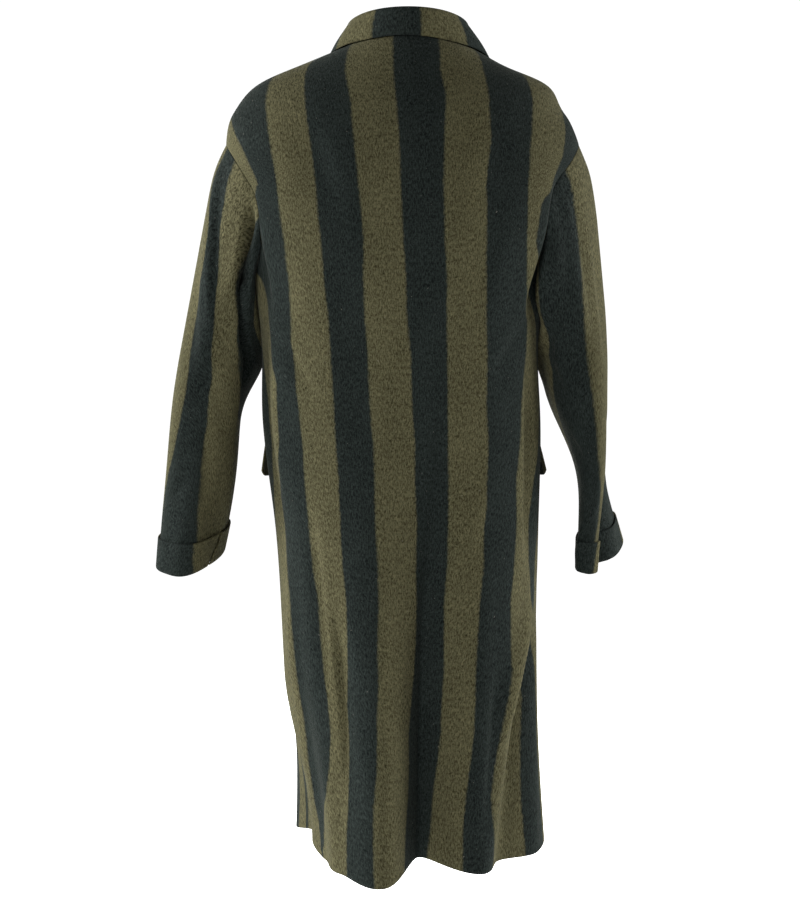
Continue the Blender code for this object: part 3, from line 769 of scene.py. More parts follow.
def pulled_in(grid, gap):
    """A grid whose side edges are moved inward by a gap, or outward where it is negative."""
    grid = grid.copy()
    grid[:, 0] += unit(grid[:, 1] - grid[:, 0]) * gap
    grid[:, -1] += unit(grid[:, -2] - grid[:, -1]) * gap
    return grid


def body_weave(grid, angles):
    """Stripe number, across and down for a grid on the body."""
    drop = -grid[..., 2]
    across = body_across(angles, drop)
    return np.stack([body_stripes(across, drop), across, run_length(grid, 0)], axis=-1)


print("rows of a body panel:", len(PLACES))

# %% The back
BACK_COLUMNS = 152
SEAM_INSET = -SEAM      # sewn edges press into each other, so no light comes through

shares = even_shares(0.0, 180.0, BACK_COLUMNS)
near = np.minimum(shares, 1.0 - shares)
moved = arm_cut(PLACES, ARM_BACK)[:, None] * ((1.0 - 2.0 * near) ** 2)[None, :]
angles = 180.0 * shares[None, :] + np.where(shares < 0.5, moved, -moved)
grid = pulled_in(body_points(angles, PLACES[:, None]), SEAM_INSET)
cloth("back_panel", "back", grid, body_weave(grid, angles))

# %% The fronts
FRONT_COLUMNS = 74
OVERLAP, OVERLAP_EASE, UNDERLAP = 0.030, 14.0, 0.0038
SHOULDER_LEVEL, SHOULDER_EASE = 0.174, 0.040    # above it, stripes keep the sideways place they have here


def front_weave(grid, angles, side):
    """Stripes that run straight down a front. They count from a dark one down its middle."""
    drop = -grid[..., 2]
    middle = -90.0 if side > 0 else 270.0
    level = side * (body_across(angles, drop) - body_across(np.full_like(drop, middle), drop))
    row = int(round(SHOULDER_LEVEL / (LEVELS[1] - LEVELS[0])))
    first = min(middle, middle + 90.0 * side)
    ahead = (ANGLES >= first) & (ANGLES <= first + 90.0)
    out = side * SIDEWAYS[row, ahead]
    away = np.abs(DISTANCE[row, ahead] - DISTANCE[row, ANGLES == middle])
    order = np.argsort(out)
    x = side * grid[..., 0]
    above = np.interp(x, out[order], away[order])
    above = above + np.minimum(x, 0.0) + np.maximum(x - out.max(), 0.0)
    lower = ease((drop - SHOULDER_LEVEL + SHOULDER_EASE) / (2.0 * SHOULDER_EASE))
    across = above + (level - above) * lower
    return np.stack([across / STRIPE + 0.5, across, run_length(grid, 0)], axis=-1)


def front_panel(name, node, side_angle, under):
    """One front, from its side seam to past the middle of the front."""
    inward = math.copysign(1.0, 270.0 - side_angle)
    shares = even_shares(side_angle, 270.0, FRONT_COLUMNS)[None, :]
    lap = np.degrees(OVERLAP / np.abs(body_points(270.0, PLACES)[:, 1]))[:, None]
    cut = arm_cut(PLACES, ARM_FRONT)[:, None]
    angles = side_angle + inward * ((90.0 + lap) * shares + cut * (1.0 - shares) ** 2)
    places = np.broadcast_to(PLACES[:, None], angles.shape)
    grid = body_points(angles, places)
    if under:
        inside = ease((lap + OVERLAP_EASE - np.abs(angles - 270.0)) / OVERLAP_EASE)
        grid -= body_normals(angles, places) * (UNDERLAP * inside)[..., None]
    grid = pulled_in(grid, SEAM_INSET)
    around = angles - 360.0 if inward < 0 else angles
    cloth(name, node, grid, front_weave(grid, around, -inward), flip=inward < 0)


front_panel("left_front", "front_left", 360.0, True)
front_panel("right_front", "front_right", 180.0, False)

# %% [markdown]
# ## The sleeves
# Each sleeve is cut in two, an upper and an under piece, with a seam at the back of the arm and one
# at the front. Rings along the arm give its bends and its flattened, empty look, and above them the
# sleeve head runs from the armhole to the first ring with a little fullness.

# %% Sleeve rings
Station = namedtuple("Station", "x y drop out deep turn tilt twist")
LEFT_SLEEVE = np.array((
    Station(0.2645, 0.000, 0.440, 0.0510, 0.078, 0.0, 0.0, 0.0),
    Station(0.2785, -0.004, 0.497, 0.0430, 0.074, 6.0, 5.0, 1.6),
    Station(0.2860, -0.014, 0.575, 0.0395, 0.067, 16.0, 11.0, 2.8),
    Station(0.2965, -0.028, 0.650, 0.0365, 0.059, 25.0, 16.0, 3.1),
    Station(0.3075, -0.042, 0.712, 0.0315, 0.053, 32.0, 23.0, 2.9),
))
RIGHT_SLEEVE = np.array((
    Station(-0.2310, 0.000, 0.440, 0.0430, 0.078, 0.0, 0.0, 0.0),
    Station(-0.2365, -0.002, 0.495, 0.0370, 0.078, 0.0, 4.0, 0.0),
    Station(-0.2545, -0.012, 0.570, 0.0215, 0.078, 4.0, 10.0, 0.0),
    Station(-0.2665, -0.028, 0.640, 0.0175, 0.070, 16.0, 15.0, 0.0),
    Station(-0.2775, -0.045, 0.708, 0.0170, 0.064, 30.0, 21.0, 0.0),
))
LAP = 2 * ARM_STEPS
CAP_BULGE = 0.0115
FLAT_BACK = 3.2         # 2 is an oval; the empty sleeves hang with a flatter back


def ring_frame(station):
    """The outward and backward directions of a sleeve ring, for the wearer's left side."""
    swing = np.radians(station.turn)
    flat = np.zeros_like(swing)
    outward = np.stack([np.cos(swing), -np.sin(swing), flat], axis=-1)
    return outward, np.stack([np.sin(swing), np.cos(swing), flat], axis=-1)


def ring_points(station, step, side):
    """Points of sleeve rings. Step 0 is the outer side, and the back of the arm comes next."""
    turn = math.pi * (step + station.twist) / ARM_STEPS
    outward, backward = ring_frame(station)
    flat = np.where(np.sin(turn) > 0.0, 2.0 / FLAT_BACK, 1.0)
    offset = outward * side * (station.out * power(np.cos(turn), flat))[..., None]
    offset = offset + backward * (station.deep * power(np.sin(turn), flat))[..., None]
    offset[..., 2] = -offset[..., 1] * np.tan(np.radians(station.tilt))
    middle = np.stack([station.x, station.y, -station.drop], axis=-1)
    return middle + offset


def stations_at(stations, place):
    """The sleeve's rings at places between its stations."""
    return Station(*np.moveaxis(spline(stations, place), -1, 0))


print("left cuff middle:", np.round(LEFT_SLEEVE[-1, :3], 3).tolist())

# %% The armhole and the sleeve head
# Where the sleeve bends back over the body by more than this, its edge lies outside the armhole's.
BENT_BACK, BENT_BACK_EASE = math.radians(80.0), math.radians(50.0)
# The mitre grows up to a greatest bend, loses a share out there, and has a least slant.
MITRE_BEND, MITRE_LOSS, MITRE_SLANT = math.radians(125.0), 0.8, 0.7
NEAR_STEP = 0.1         # steps to each side, for the direction of the armhole's edge


def armhole(step, side):
    """The body's armhole edge and its outward direction, down the back and up the front."""
    step = np.mod(step, LAP)
    behind = step <= ARM_STEPS
    place = arm_place(np.where(behind, step, LAP - step))
    angle = np.where(behind, arm_cut(place, ARM_BACK), -arm_cut(place, ARM_FRONT))
    angle = angle if side > 0 else 180.0 - angle
    return body_points(angle, place), body_normals(angle, place)


def angle_between(a, b):
    """Angles between vectors, in radians."""
    return np.arccos(np.clip(np.sum(unit(a) * unit(b), axis=-1), -1.0, 1.0))


def sleeve_start(step, side, stations):
    """Where the sleeve's own edge begins: off the armhole by a mitre that clears both walls."""
    edge, normal = armhole(step, side)
    ahead, behind = (armhole(step + k * NEAR_STEP, side)[0] for k in (1, -1))
    tangent = unit(ahead - behind)
    along = unit(ring_points(stations_at(stations, 0.0 * step), step, side) - edge)
    across = along - tangent * np.sum(along * tangent, axis=-1, keepdims=True)
    bend = angle_between(np.cross(tangent, normal) * side, across)
    outside = ease((bend - BENT_BACK) / BENT_BACK_EASE)
    mitre = 0.5 * CLOTH * np.tan(0.5 * np.minimum(bend, MITRE_BEND))
    mitre = 2.0 * SEAM + mitre * (1.0 - MITRE_LOSS * outside)
    slant = np.maximum(np.linalg.norm(across, axis=-1), MITRE_SLANT)
    start = edge + along * (mitre / slant)[..., None]
    return start + normal * ((CLOTH + SEAM) * outside)[..., None]


# %% Creases of the sleeves
# Places are metres round the sleeve from its outer line, positive towards the back of the arm.
LEFT_CREASES = (
    Crease(0.058, 0.14, 0.116, 0.44, 0.006, 0.040, 0.008, 0.0066),    # sharp ridge down the back
    Crease(0.166, 0.20, 0.170, 0.50, 0.000, 0.016, 0.034, -0.0340),   # deep fold by the armhole
    Crease(0.142, 0.40, 0.180, 0.70, 0.000, 0.050, 0.010, 0.0115),    # edge along the hind seam
    Crease(0.250, 0.31, 0.260, 0.52, 0.000, 0.080, 0.080, 0.0100),    # full inner side, against the coat
    Crease(0.060, 0.30, 0.085, 0.47, 0.006, 0.028, 0.016, -0.0036),   # soft hollow beside the ridge
    Crease(0.136, 0.38, 0.080, 0.50, 0.008, 0.014, 0.024, -0.0036),   # drag line above the elbow
    Crease(0.150, 0.49, 0.075, 0.57, 0.006, 0.010, 0.020, -0.0034),   # elbow
    Crease(0.140, 0.56, 0.070, 0.635, -0.005, 0.016, 0.008, -0.0026), # below the elbow
    Crease(0.110, 0.52, 0.120, 0.66, 0.004, 0.010, 0.018, -0.0024),   # forearm
    Crease(0.020, 0.42, -0.040, 0.54, 0.006, 0.022, 0.016, -0.0036),  # outer side, elbow
    Crease(-0.080, 0.34, -0.120, 0.50, 0.006, 0.020, 0.030, -0.0044), # front of the arm
    Crease(-0.060, 0.50, -0.130, 0.56, 0.004, 0.014, 0.022, -0.0036), # inner elbow
)
RIGHT_CREASES = (
    Crease(0.020, 0.13, 0.010, 0.48, 0.000, 0.070, 0.060, 0.0050),    # full outer side
    Crease(0.150, 0.16, 0.100, 0.44, -0.006, 0.016, 0.034, 0.0034),   # ridge down the back
    Crease(0.070, 0.26, 0.060, 0.48, -0.006, 0.030, 0.018, -0.0038),  # soft hollow beside it
    Crease(0.156, 0.42, 0.082, 0.54, 0.008, 0.012, 0.024, -0.0034),   # drag line above the elbow
    Crease(0.130, 0.53, 0.064, 0.61, 0.006, 0.010, 0.020, -0.0030),   # elbow
    Crease(0.052, 0.50, 0.048, 0.90, 0.000, 0.064, 0.010, -0.0150),   # fold where the wrist turns in
    Crease(0.030, 0.52, 0.024, 0.92, 0.000, 0.022, 0.018, -0.0090),   # the hollow behind that fold
    Crease(0.200, 0.27, 0.215, 0.475, 0.000, 0.060, 0.060, 0.0135),   # full inner side, against the coat
    Crease(0.070, 0.62, 0.100, 0.72, 0.000, 0.006, 0.012, 0.0026),    # slanting ridge above the cuff
    Crease(0.020, 0.40, -0.030, 0.52, 0.006, 0.022, 0.016, -0.0030),  # outer side, elbow
    Crease(-0.080, 0.36, -0.115, 0.52, 0.006, 0.018, 0.030, -0.0040), # front of the arm
    Crease(-0.050, 0.52, -0.120, 0.57, 0.004, 0.014, 0.022, -0.0032), # inner elbow
)


def sleeve_creases(creases, around, drop):
    """How far a sleeve's creases push the cloth at distances round it and drops."""
    def across_from(crease):
        return around - crease.top_at, crease.low_at - crease.top_at
    return crease_push(creases, across_from, drop)


# %% Rows of a sleeve
CAP_ROWS = 50
ARM_ROWS = 58
CUFF_ROWS = 22
CUFF_HEIGHT = 0.040
CAP_EASE = 0.10         # share of the sleeve head over which its fullness begins
SOFT_PASSES = 24
STATION_SAMPLES = 2000
SEWN_ROWS = 6           # rows over which the armhole seam holds the creases back


def cuff_place(stations):
    """The place down the stations where the cuff starts."""
    fine = np.linspace(0.0, len(stations) - 1, STATION_SAMPLES)
    return float(np.interp(stations[-1, 2] - CUFF_HEIGHT, spline(stations, fine)[:, 2], fine))


def softened(grid, passes):
    """Evens out kinks down the columns of a grid. Its first and last row stay."""
    for _ in range(passes):
        grid[1:-1] = 0.5 * grid[1:-1] + 0.25 * (grid[:-2] + grid[2:])
    return grid


def from_outer_line(length, steps, twist):
    """Distances along rows, counted from where the sleeve's outer line crosses each row."""
    start = [np.interp(0.0, steps + swing, row) for row, swing in zip(length, twist)]
    return length - np.array(start)[:, None]


def sleeve_grid(side, stations, creases, steps):
    """The middle of the cloth of a whole sleeve, and the distances round it from its outer line."""
    start = sleeve_start(steps, side, stations)[None]
    end = ring_points(stations_at(stations, 0.0 * steps), steps, side)[None]
    share = (np.arange(CAP_ROWS) / CAP_ROWS)[:, None, None]
    cap = start + (end - start) * share
    outer = np.maximum(0.0, np.cos(math.pi * steps / ARM_STEPS))[None]
    full = ease(share[..., 0] / CAP_EASE) * (1.0 - share[..., 0])
    cap[..., 0] += side * CAP_BULGE * outer * full
    split = cuff_place(stations)
    places = np.concatenate([
        np.linspace(0.0, split, ARM_ROWS, endpoint=False),
        np.linspace(split, len(stations) - 1, CUFF_ROWS),
    ])
    spread_places = np.repeat(places[:, None], len(steps), axis=1)
    arm = ring_points(stations_at(stations, spread_places), steps[None], side)
    grid = softened(np.concatenate([cap, arm]), SOFT_PASSES)
    twist = np.concatenate([np.zeros(CAP_ROWS), stations_at(stations, places).twist])
    around = softened(from_outer_line(run_length(grid, 1), steps, twist), 3 * SOFT_PASSES)
    push = sleeve_creases(creases, around, -grid[..., 2])
    push = push * ease(np.arange(len(grid)) / SEWN_ROWS)[:, None]
    return grid + grid_normals(grid) * (side * push)[..., None], around


# %% Stripes of the sleeves
SLEEVE_DROPS = (
    0.16, 0.20, 0.23, 0.26, 0.29, 0.32, 0.36, 0.39,
    0.415, 0.45, 0.49, 0.52, 0.57, 0.61, 0.66, 0.72,
)
LEFT_EDGES = np.array((     # millimetres from the outer line, going back; dark lies between 0 and 1
    (-56, 1, 55, 92, 240, 300),
    (-50, 6, 60, 98, 240, 300),
    (-40, 16, 74, 103, 228, 300),
    # from drop 0.26 to 0.49 edge 2 follows where the deep fold by the armhole falls into shade, so the
    # dark beyond it is partly woven stripe and partly painted shade
    (-32, 24, 85, 103, 188, 300),
    (-30, 26, 87, 109, 162, 300),
    (-30, 26, 86, 114, 156, 285),
    (-36, 20, 78, 116, 152, 236),
    (-38, 18, 77, 115, 152, 222),
    (-38, 18, 77, 113, 146, 232),
    (-34, 22, 81, 111, 143, 260),
    (-34, 22, 81, 110, 153, 262),
    (-36, 20, 78, 113, 200, 264),
    (-42, 14, 70, 112, 210, 264),
    (-54, 4, 59, 114, 214, 268),
    (-60, -6, 52, 115, 214, 268),
    (-64, -10, 48, 121, 214, 268),
)) / 1000.0
RIGHT_EDGES = np.array((
    (-24, 30, 120, 215, 262, 316),
    (-26, 28, 113, 222, 270, 324),
    (-28, 26, 113, 235, 285, 339),
    (-30, 24, 110, 240, 290, 344),
    (-34, 20, 108, 240, 290, 344),
    (-38, 16, 109, 228, 280, 334),
    (-42, 12, 111, 200, 256, 310),
    (-45, 9, 106, 186, 242, 296),
    (-48, 6, 101, 172, 229, 283),
    (-54, 2, 95, 151, 212, 266),
    # from drop 0.49 down, the dark on the outer wrist is drawn wider and the olive strip beside it
    # thinner: partly woven stripe, partly painted shade on the far side of the turned-in wrist
    (-62, -2, 88, 149, 208, 262),
    (-70, -4, 86, 150, 208, 262),
    (-66, 2, 83, 152, 205, 259),
    (-60, 18, 73, 150, 202, 256),
    (-50, 32, 66, 146, 198, 252),
    (-44, 42, 66, 142, 194, 248),
)) / 1000.0
FIRST_SLEEVE_EDGE = -2


def sleeve_stripes(side, around, drop):
    """The stripe number on a sleeve, at distances round it and drops."""
    edges = LEFT_EDGES if side > 0 else RIGHT_EDGES
    lines = [np.interp(drop, SLEEVE_DROPS, line) for line in edges.T]
    return stripe_numbers(around, lines, FIRST_SLEEVE_EDGE)


def sleeve_weave(side, grid, around):
    """Stripe number, across and down. Threads keep one place across, all the way down a column."""
    across = np.broadcast_to(run_length(grid, 1).mean(axis=0), around.shape)
    stripes = sleeve_stripes(side, around, -grid[..., 2])
    return np.stack([stripes, across, run_length(grid, 0)], axis=-1)


# %% The four sleeve pieces
HIND_SEAM = 6
UPPER_COLUMNS = 108
UNDER_COLUMNS = 52
CUFF_TURN = 0.0016      # the sleeve ends this far above its cuff's lower edge


def sleeve(name, side, stations, creases):
    """The upper and under piece of one sleeve."""
    upper = np.linspace(-HIND_SEAM, HIND_SEAM, UPPER_COLUMNS + 1)
    under = np.linspace(HIND_SEAM, LAP - HIND_SEAM, UNDER_COLUMNS + 1)
    grid, around = sleeve_grid(side, stations, creases, np.concatenate([upper, under[1:]]))
    grid[-1] += unit(grid[-2] - grid[-1]) * CUFF_TURN
    weave = sleeve_weave(side, grid, around)
    cuts = {"upper": slice(0, UPPER_COLUMNS + 1), "under": slice(UPPER_COLUMNS, None)}
    for part, columns in cuts.items():
        piece = pulled_in(grid[:, columns], SEAM_INSET)
        cloth(f"{part}_sleeve_{name}", f"sleeve_{part}_{name}", piece, weave[:, columns], flip=side < 0)


sleeve("left", 1.0, LEFT_SLEEVE, LEFT_CREASES)
sleeve("right", -1.0, RIGHT_SLEEVE, RIGHT_CREASES)

# %% [markdown]
# ## The cuffs
# The end of each sleeve is turned up outside it, so its lower edge is a fold and not a cut. The cuff
# runs round the arm from one side of a short slit at the back seam to the other, and its lower rows
# roll in under the sleeve's end.

# %% Turned-up cuffs
CUFF_OUT = 1.15 * (CLOTH + SEAM + 0.0002)       # off the sleeve's middle surface, with a little air
CUFF_SLIT = 0.005
CUFF_COLUMNS = 120
ROLL_ROWS = 7


def cuff(name, side, stations, creases):
    """One turned-up cuff, outside its sleeve, with its lower edge rolled in."""
    steps = np.linspace(HIND_SEAM, HIND_SEAM + LAP, CUFF_COLUMNS + 1)
    places = np.linspace(cuff_place(stations), len(stations) - 1, CUFF_ROWS)
    spread_places = np.repeat(places[:, None], len(steps), axis=1)
    station = stations_at(stations, spread_places)
    ring = ring_points(station, steps[None], side)
    turn = math.pi * (steps + station.twist) / ARM_STEPS
    outward, backward = ring_frame(station)
    away = outward * side * (station.deep * np.cos(turn))[..., None]
    away = unit(away + backward * (station.out * np.sin(turn))[..., None])
    grid = ring + away * CUFF_OUT
    down = unit(grid[-1] - grid[-2])
    half_turn = np.linspace(0.0, math.pi, ROLL_ROWS)[1:, None, None]
    middle = ring[-1] + away[-1] * CUFF_OUT / 2
    roll = middle + (away[-1] * np.cos(half_turn) + down * np.sin(half_turn)) * CUFF_OUT / 2
    grid = pulled_in(np.concatenate([grid, roll]), CUFF_SLIT / 2)
    twist = np.concatenate([station.twist[:, 0], np.repeat(station.twist[-1, :1], ROLL_ROWS - 1)])
    length = run_length(grid, 1)
    around = from_outer_line(length, steps - LAP, twist)
    around = np.where(steps < LAP - HIND_SEAM, around + length[:, -1:], around)
    push = sleeve_creases(creases, around, -grid[..., 2])
    grid = grid + np.concatenate([away, np.repeat(away[-1:], ROLL_ROWS - 1, axis=0)]) * push[..., None]
    weave = sleeve_weave(side, grid, around)
    cloth(f"turned_cuff_{name}", f"cuff_{name}", grid, weave, flip=side < 0)


cuff("left", 1.0, LEFT_SLEEVE, LEFT_CREASES)
cuff("right", -1.0, RIGHT_SLEEVE, RIGHT_CREASES)

# %% [markdown]
# ## The collar
# The collar is one strip. It stands up from the neck seam, rolls over along the top and falls down
# to an edge that lies just over the coat, lower towards the front.

# %% Stand, roll and fall
CollarCut = namedtuple("CollarCut", "angle stand reach")
COLLAR = np.array((
    CollarCut(-80.0, 0.020, 1.80),
    CollarCut(-45.0, 0.024, 1.36),
    CollarCut(0.0, 0.026, 0.78),
    CollarCut(45.0, 0.026, 0.52),
    CollarCut(90.0, 0.025, 0.34),
    CollarCut(135.0, 0.026, 0.64),
    CollarCut(180.0, 0.026, 1.10),
    CollarCut(225.0, 0.024, 1.45),
    CollarCut(260.0, 0.020, 1.80),
))
COLLAR_ROLL, COLLAR_LIFT = 0.0045, 0.0032
STAND_HOLLOW, ROLL_FULL, FALL_CROWN = 0.001, 0.2, 0.002
COLLAR_COLUMNS, COLLAR_ROWS = 160, 44
CURVE_SAMPLES = 800
COLLAR_STRIPES = (-0.049, 0.066)        # where the dark stripe at the back starts, and its width
UP = np.array((0.0, 0.0, 1.0))


def collar_outline(cut):
    """Points across the collar at each of its columns: stand, roll and fall."""
    zero = np.zeros_like(cut.angle)
    seam = body_points(cut.angle, zero)
    outward = unit(seam * np.array((1.0, 1.0, 0.0)))
    along = unit(body_points(cut.angle + 1.0, zero) - body_points(cut.angle - 1.0, zero))
    up = unit(UP - along * along[..., 2:])
    foot = seam + up * (CLOTH / 2 + 2 * SEAM)
    top = foot + up * cut.stand[:, None]
    edge = body_points(cut.angle, cut.reach) + body_normals(cut.angle, cut.reach) * COLLAR_LIFT
    crest = top + (outward + up) * COLLAR_ROLL
    over = top + outward * 2.0 * COLLAR_ROLL
    return np.stack([
        foot,
        0.5 * (foot + top) - outward * STAND_HOLLOW,
        top,
        0.5 * (top + crest) + (up - outward) * ROLL_FULL * COLLAR_ROLL,
        crest,
        0.5 * (crest + over) + (up + outward) * ROLL_FULL * COLLAR_ROLL,
        over,
        0.5 * (over + edge) + outward * FALL_CROWN,
        edge,
    ])


def even_rows(outline, rows):
    """Smooth curves down the outline's columns, with rows evenly spaced along the middle one."""
    count, columns = outline.shape[:2]
    fine = np.linspace(0.0, count - 1, CURVE_SAMPLES)
    flat = outline.reshape(count, -1)
    middle = spline(flat, fine).reshape(CURVE_SAMPLES, columns, 3)[:, columns // 2]
    length = np.concatenate([[0.0], np.cumsum(np.linalg.norm(np.diff(middle, axis=0), axis=1))])
    places = np.interp(np.linspace(0.0, length[-1], rows + 1), length, fine)
    return spline(flat, places).reshape(rows + 1, columns, 3)


cuts = CollarCut(*spline(COLLAR, np.linspace(0.0, len(COLLAR) - 1, COLLAR_COLUMNS + 1)).T)
grid = even_rows(collar_outline(cuts), COLLAR_ROWS)
around = run_length(grid, 1)
around -= around[:, [int(np.argmin(np.abs(cuts.angle - 90.0)))]]
around = np.repeat(around[[COLLAR_ROWS * 3 // 4]], COLLAR_ROWS + 1, axis=0)
stripes = (around - COLLAR_STRIPES[0]) / COLLAR_STRIPES[1]
cloth("collar_fall", "collar", grid, np.stack([stripes, around, run_length(grid, 0)], axis=-1))

# %% [markdown]
# ## The pocket flaps
# A flap hangs over each side pocket. It is sewn down along its top and stands off the coat along its
# free edges, most at the rear corner.

# %% Flaps
FLAP_TOP, FLAP_HEIGHT, FLAP_CORNER = 0.548, 0.047, 0.007
FLAP_REAR, FLAP_WIDTH = 4.0, 42.0
FLAP_CLEAR, FLAP_STAND_OFF = 0.0003, 0.011
FLAP_FRONT_LOSS = 0.6       # share of the stand-off that is lost towards the front
FLAP_CORNER_SHARE = 0.12    # share of the width that each rounded corner takes
FLAP_ROWS, FLAP_COLUMNS = 26, 54


def place_at_drop(angle, drop):
    """The place down the sections where the body has a given drop, for one angle."""
    return np.interp(drop, -body_points(angle, FINE_PLACES)[:, 2], FINE_PLACES)


def flap(name, side_angle):
    """One flap, from near its side seam towards the front."""
    inward = math.copysign(1.0, 270.0 - side_angle)
    share = np.linspace(0.0, 1.0, FLAP_ROWS + 1)[:, None]
    across = np.linspace(0.0, 1.0, FLAP_COLUMNS + 1)[None, :]
    angles = np.repeat(side_angle + inward * (FLAP_REAR + FLAP_WIDTH * across), FLAP_ROWS + 1, axis=0)
    corner = np.maximum(0.0, 1.0 - np.minimum(across, 1.0 - across) / FLAP_CORNER_SHARE)
    drops = FLAP_TOP + (FLAP_HEIGHT - FLAP_CORNER * corner ** 2) * share
    places = np.stack([place_at_drop(angle, line) for angle, line in zip(angles[0], drops.T)], axis=1)
    stand_off = FLAP_STAND_OFF * share * (1.0 - FLAP_FRONT_LOSS * ease(across / 0.5))
    lift = CLOTH + SEAM + FLAP_CLEAR + stand_off
    grid = body_points(angles, places) + body_normals(angles, places) * lift[..., None]
    around = angles - 360.0 if inward < 0 else angles
    cloth(f"pocket_flap_{name}", f"flap_{name}", grid, body_weave(grid, around), flip=inward < 0)


flap("left", 360.0)
flap("right", 180.0)

# %% [markdown]
# ## The buttons
# Four turned buttons sit on the over front. Each is dished with a raised rim, has four holes and is
# sewn on with two crossed stitches of dark thread.

# %% Button material
HORN_DARK, HORN_LIGHT = (0.012, 0.009, 0.007, 1.0), (0.046, 0.031, 0.019, 1.0)
HORN_GRAIN, HORN_DETAIL, HORN_CURL = 140.0, 4.0, 1.2
HORN_GLOSS = 0.25
THREAD_COLOUR, THREAD_ROUGHNESS = (0.022, 0.022, 0.020), 0.85


def horn(name):
    """Dark horn: brown-black with faint lighter grain."""
    material = bpy.data.materials.new(name)
    material.use_nodes = True
    tree = material.node_tree
    shader = tree.nodes["Principled BSDF"]
    grain = add(tree, "TexNoise")
    feed(tree, grain.inputs["Vector"], add(tree, "TexCoord").outputs["Object"])
    grain.inputs["Scale"].default_value = HORN_GRAIN
    grain.inputs["Detail"].default_value = HORN_DETAIL
    grain.inputs["Distortion"].default_value = HORN_CURL
    share = spread(tree, grain.outputs["Fac"], 0.42, 0.75)
    feed(tree, shader.inputs["Base Color"], blend(tree, share, HORN_DARK, HORN_LIGHT))
    feed(tree, shader.inputs["Roughness"], spread(tree, grain.outputs["Fac"], 0.3, 0.7, 0.36, 0.52))
    shader.inputs["Specular IOR Level"].default_value = HORN_GLOSS
    return material


HORN = horn("dark_horn")
THREAD = plain_material("dark_thread", THREAD_COLOUR, THREAD_ROUGHNESS)
print("materials:", HORN.name, THREAD.name)

# %% Buttons and their thread
BUTTON_DROPS = (0.174, 0.316, 0.458, 0.600)
BUTTON_RADIUS, BUTTON_HEIGHT = 0.014, 0.0045
BUTTON_RIM, BUTTON_DISH = 0.0032, 0.0012
BUTTON_SIDES = 64
HOLE_RADIUS, HOLE_SPREAD = 0.0011, 0.0026
DRILL = ((0.0, 0.01), (HOLE_RADIUS, 0.01), (HOLE_RADIUS, -0.01), (0.0, -0.01))
DRILL_SIDES = 16


def button_profile():
    """Radius and height round half a button's section, with rounded corners."""
    face = BUTTON_HEIGHT - BUTTON_DISH
    rim = (         # share of the rim in from the outside, and height
        (1.0, face),
        (0.7, face + 0.0004),
        (0.55, BUTTON_HEIGHT - 0.0001),
        (0.3, BUTTON_HEIGHT),
        (0.1, BUTTON_HEIGHT - 0.0004),
        (0.0, 0.62 * BUTTON_HEIGHT),
    )
    under = (
        (BUTTON_RADIUS - 0.0004, 0.40 * BUTTON_HEIGHT),
        (0.90 * BUTTON_RADIUS, 0.12 * BUTTON_HEIGHT),
        (0.82 * BUTTON_RADIUS, 0.0),
    )
    outer = [(BUTTON_RADIUS - share * BUTTON_RIM, height) for share, height in rim]
    return [(0.0, face), *outer, *under, (0.0, 0.0)]


def lathe(profile, sides):
    """Points and faces of a closed turned shape, from its top middle to its bottom middle."""
    turns = np.linspace(0.0, 2.0 * math.pi, sides, endpoint=False)
    points = [(0.0, 0.0, profile[0][1])]
    for radius, height in profile[1:-1]:
        points += [(radius * math.cos(turn), radius * math.sin(turn), height) for turn in turns]
    points.append((0.0, 0.0, profile[-1][1]))
    rings = len(profile) - 2
    ring = [[1 + r * sides + k for k in range(sides)] for r in range(rings)]
    faces = []
    for k in range(sides):
        n = (k + 1) % sides
        faces.append((0, ring[0][k], ring[0][n]))
        faces += [(ring[r][k], ring[r + 1][k], ring[r + 1][n], ring[r][n]) for r in range(rings - 1)]
        faces.append((ring[-1][k], len(points) - 1, ring[-1][n]))
    return points, faces


def pierced(piece, cutters):
    """Cuts holes through a piece and keeps the result as its mesh."""
    for cutter in cutters:
        hole = piece.modifiers.new("hole", "BOOLEAN")
        hole.object = cutter
        hole.operation = "DIFFERENCE"
        hole.solver = "EXACT"
    bpy.context.view_layer.update()
    ready = piece.evaluated_get(bpy.context.evaluated_depsgraph_get())
    mesh = bpy.data.meshes.new_from_object(ready)
    piece.modifiers.clear()
    piece.data = mesh
    for cutter in cutters:
        bpy.data.objects.remove(cutter)


print("button profile points:", len(button_profile()))

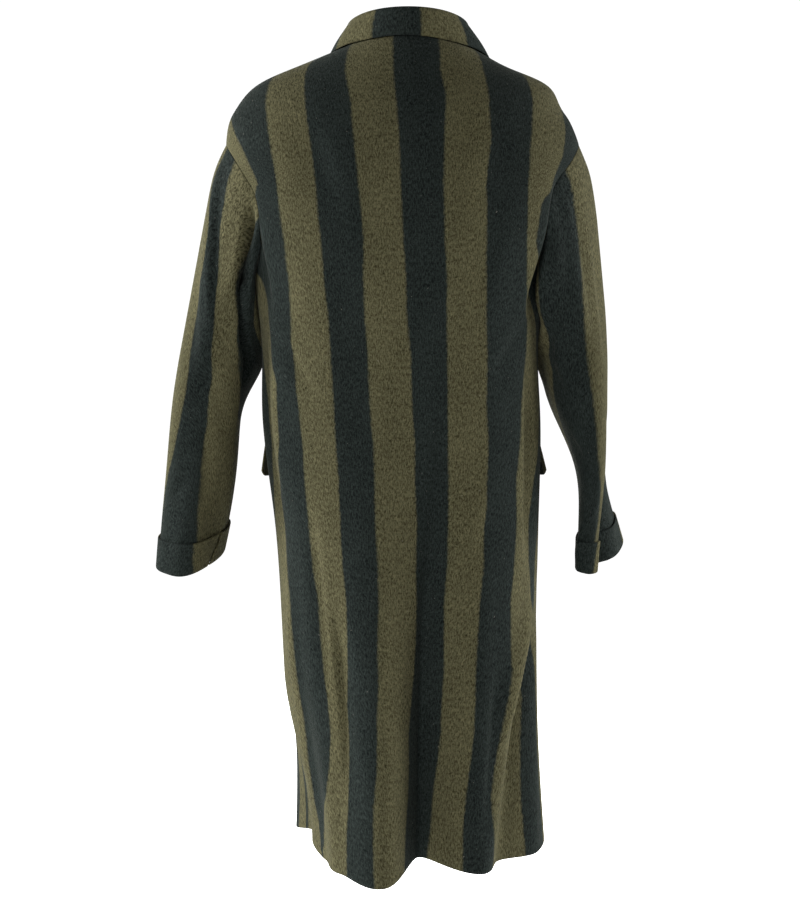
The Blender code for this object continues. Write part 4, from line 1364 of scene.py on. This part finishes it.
# %% Sew the buttons on
HOLE_PLACES = [(x * HOLE_SPREAD, y * HOLE_SPREAD) for x in (-1, 1) for y in (-1, 1)]
STITCHES = ((0, 3), (1, 2))             # the holes that each stitch joins
STITCH_RADIUS = 0.00055
STITCH_LINE = (                         # share of the way from hole to hole, and height over the face
    (0.0, -0.0014), (0.02, 0.0002), (0.2, 0.0006), (0.5, 0.0007),
    (0.8, 0.0006), (0.98, 0.0002), (1.0, -0.0014),
)
BUTTON_CLEAR = 0.0002
SHARP_ANGLE = math.radians(40.0)


def button_seat(drop):
    """The matrix that sets a button on the over front at a drop."""
    place = place_at_drop(270.0, drop)
    normal = Vector(body_normals(np.array(270.0), np.array(place)))
    seat = Vector(body_points(270.0, place)) + normal * (CLOTH / 2 + SEAM + BUTTON_CLEAR)
    return Matrix.Translation(seat) @ normal.to_track_quat("Z", "Y").to_matrix().to_4x4()


def stitch(name, ends, seat):
    """A short bar of thread that lies over a button's face from hole to hole."""
    curve = bpy.data.curves.new(name, "CURVE")
    curve.dimensions = "3D"
    curve.bevel_depth = STITCH_RADIUS
    curve.bevel_resolution = 2
    face = BUTTON_HEIGHT - BUTTON_DISH
    line = curve.splines.new("POLY")
    line.points.add(len(STITCH_LINE) - 1)
    for point, (share, height) in zip(line.points, STITCH_LINE):
        x = ends[0][0] + (ends[1][0] - ends[0][0]) * share
        y = ends[0][1] + (ends[1][1] - ends[0][1]) * share
        point.co = (x, y, face + height, 1.0)
    curve.use_fill_caps = True
    curve.materials.append(THREAD)
    piece = bpy.data.objects.new(name, curve)
    bpy.context.scene.collection.objects.link(piece)
    piece.matrix_world = seat
    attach(piece, "root")


for number, drop in enumerate(BUTTON_DROPS, 1):
    seat = button_seat(drop)
    button = mesh_object(f"turned_button_{number}", *lathe(button_profile(), BUTTON_SIDES), HORN)
    drills = []
    for x, y in HOLE_PLACES:
        drill = mesh_object("drill", *lathe(DRILL, DRILL_SIDES), HORN)
        drill.location = (x, y, 0.0)
        drills.append(drill)
    pierced(button, drills)
    button.data.shade_smooth()
    button.data.set_sharp_from_angle(angle=SHARP_ANGLE)
    button.matrix_world = seat
    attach(button, "root")
    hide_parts(f"button_{number}")
    for k, pair in enumerate(STITCHES):
        stitch(f"button_thread_{number}_{k}", [HOLE_PLACES[i] for i in pair], seat)
print("buttons:", len(BUTTON_DROPS))
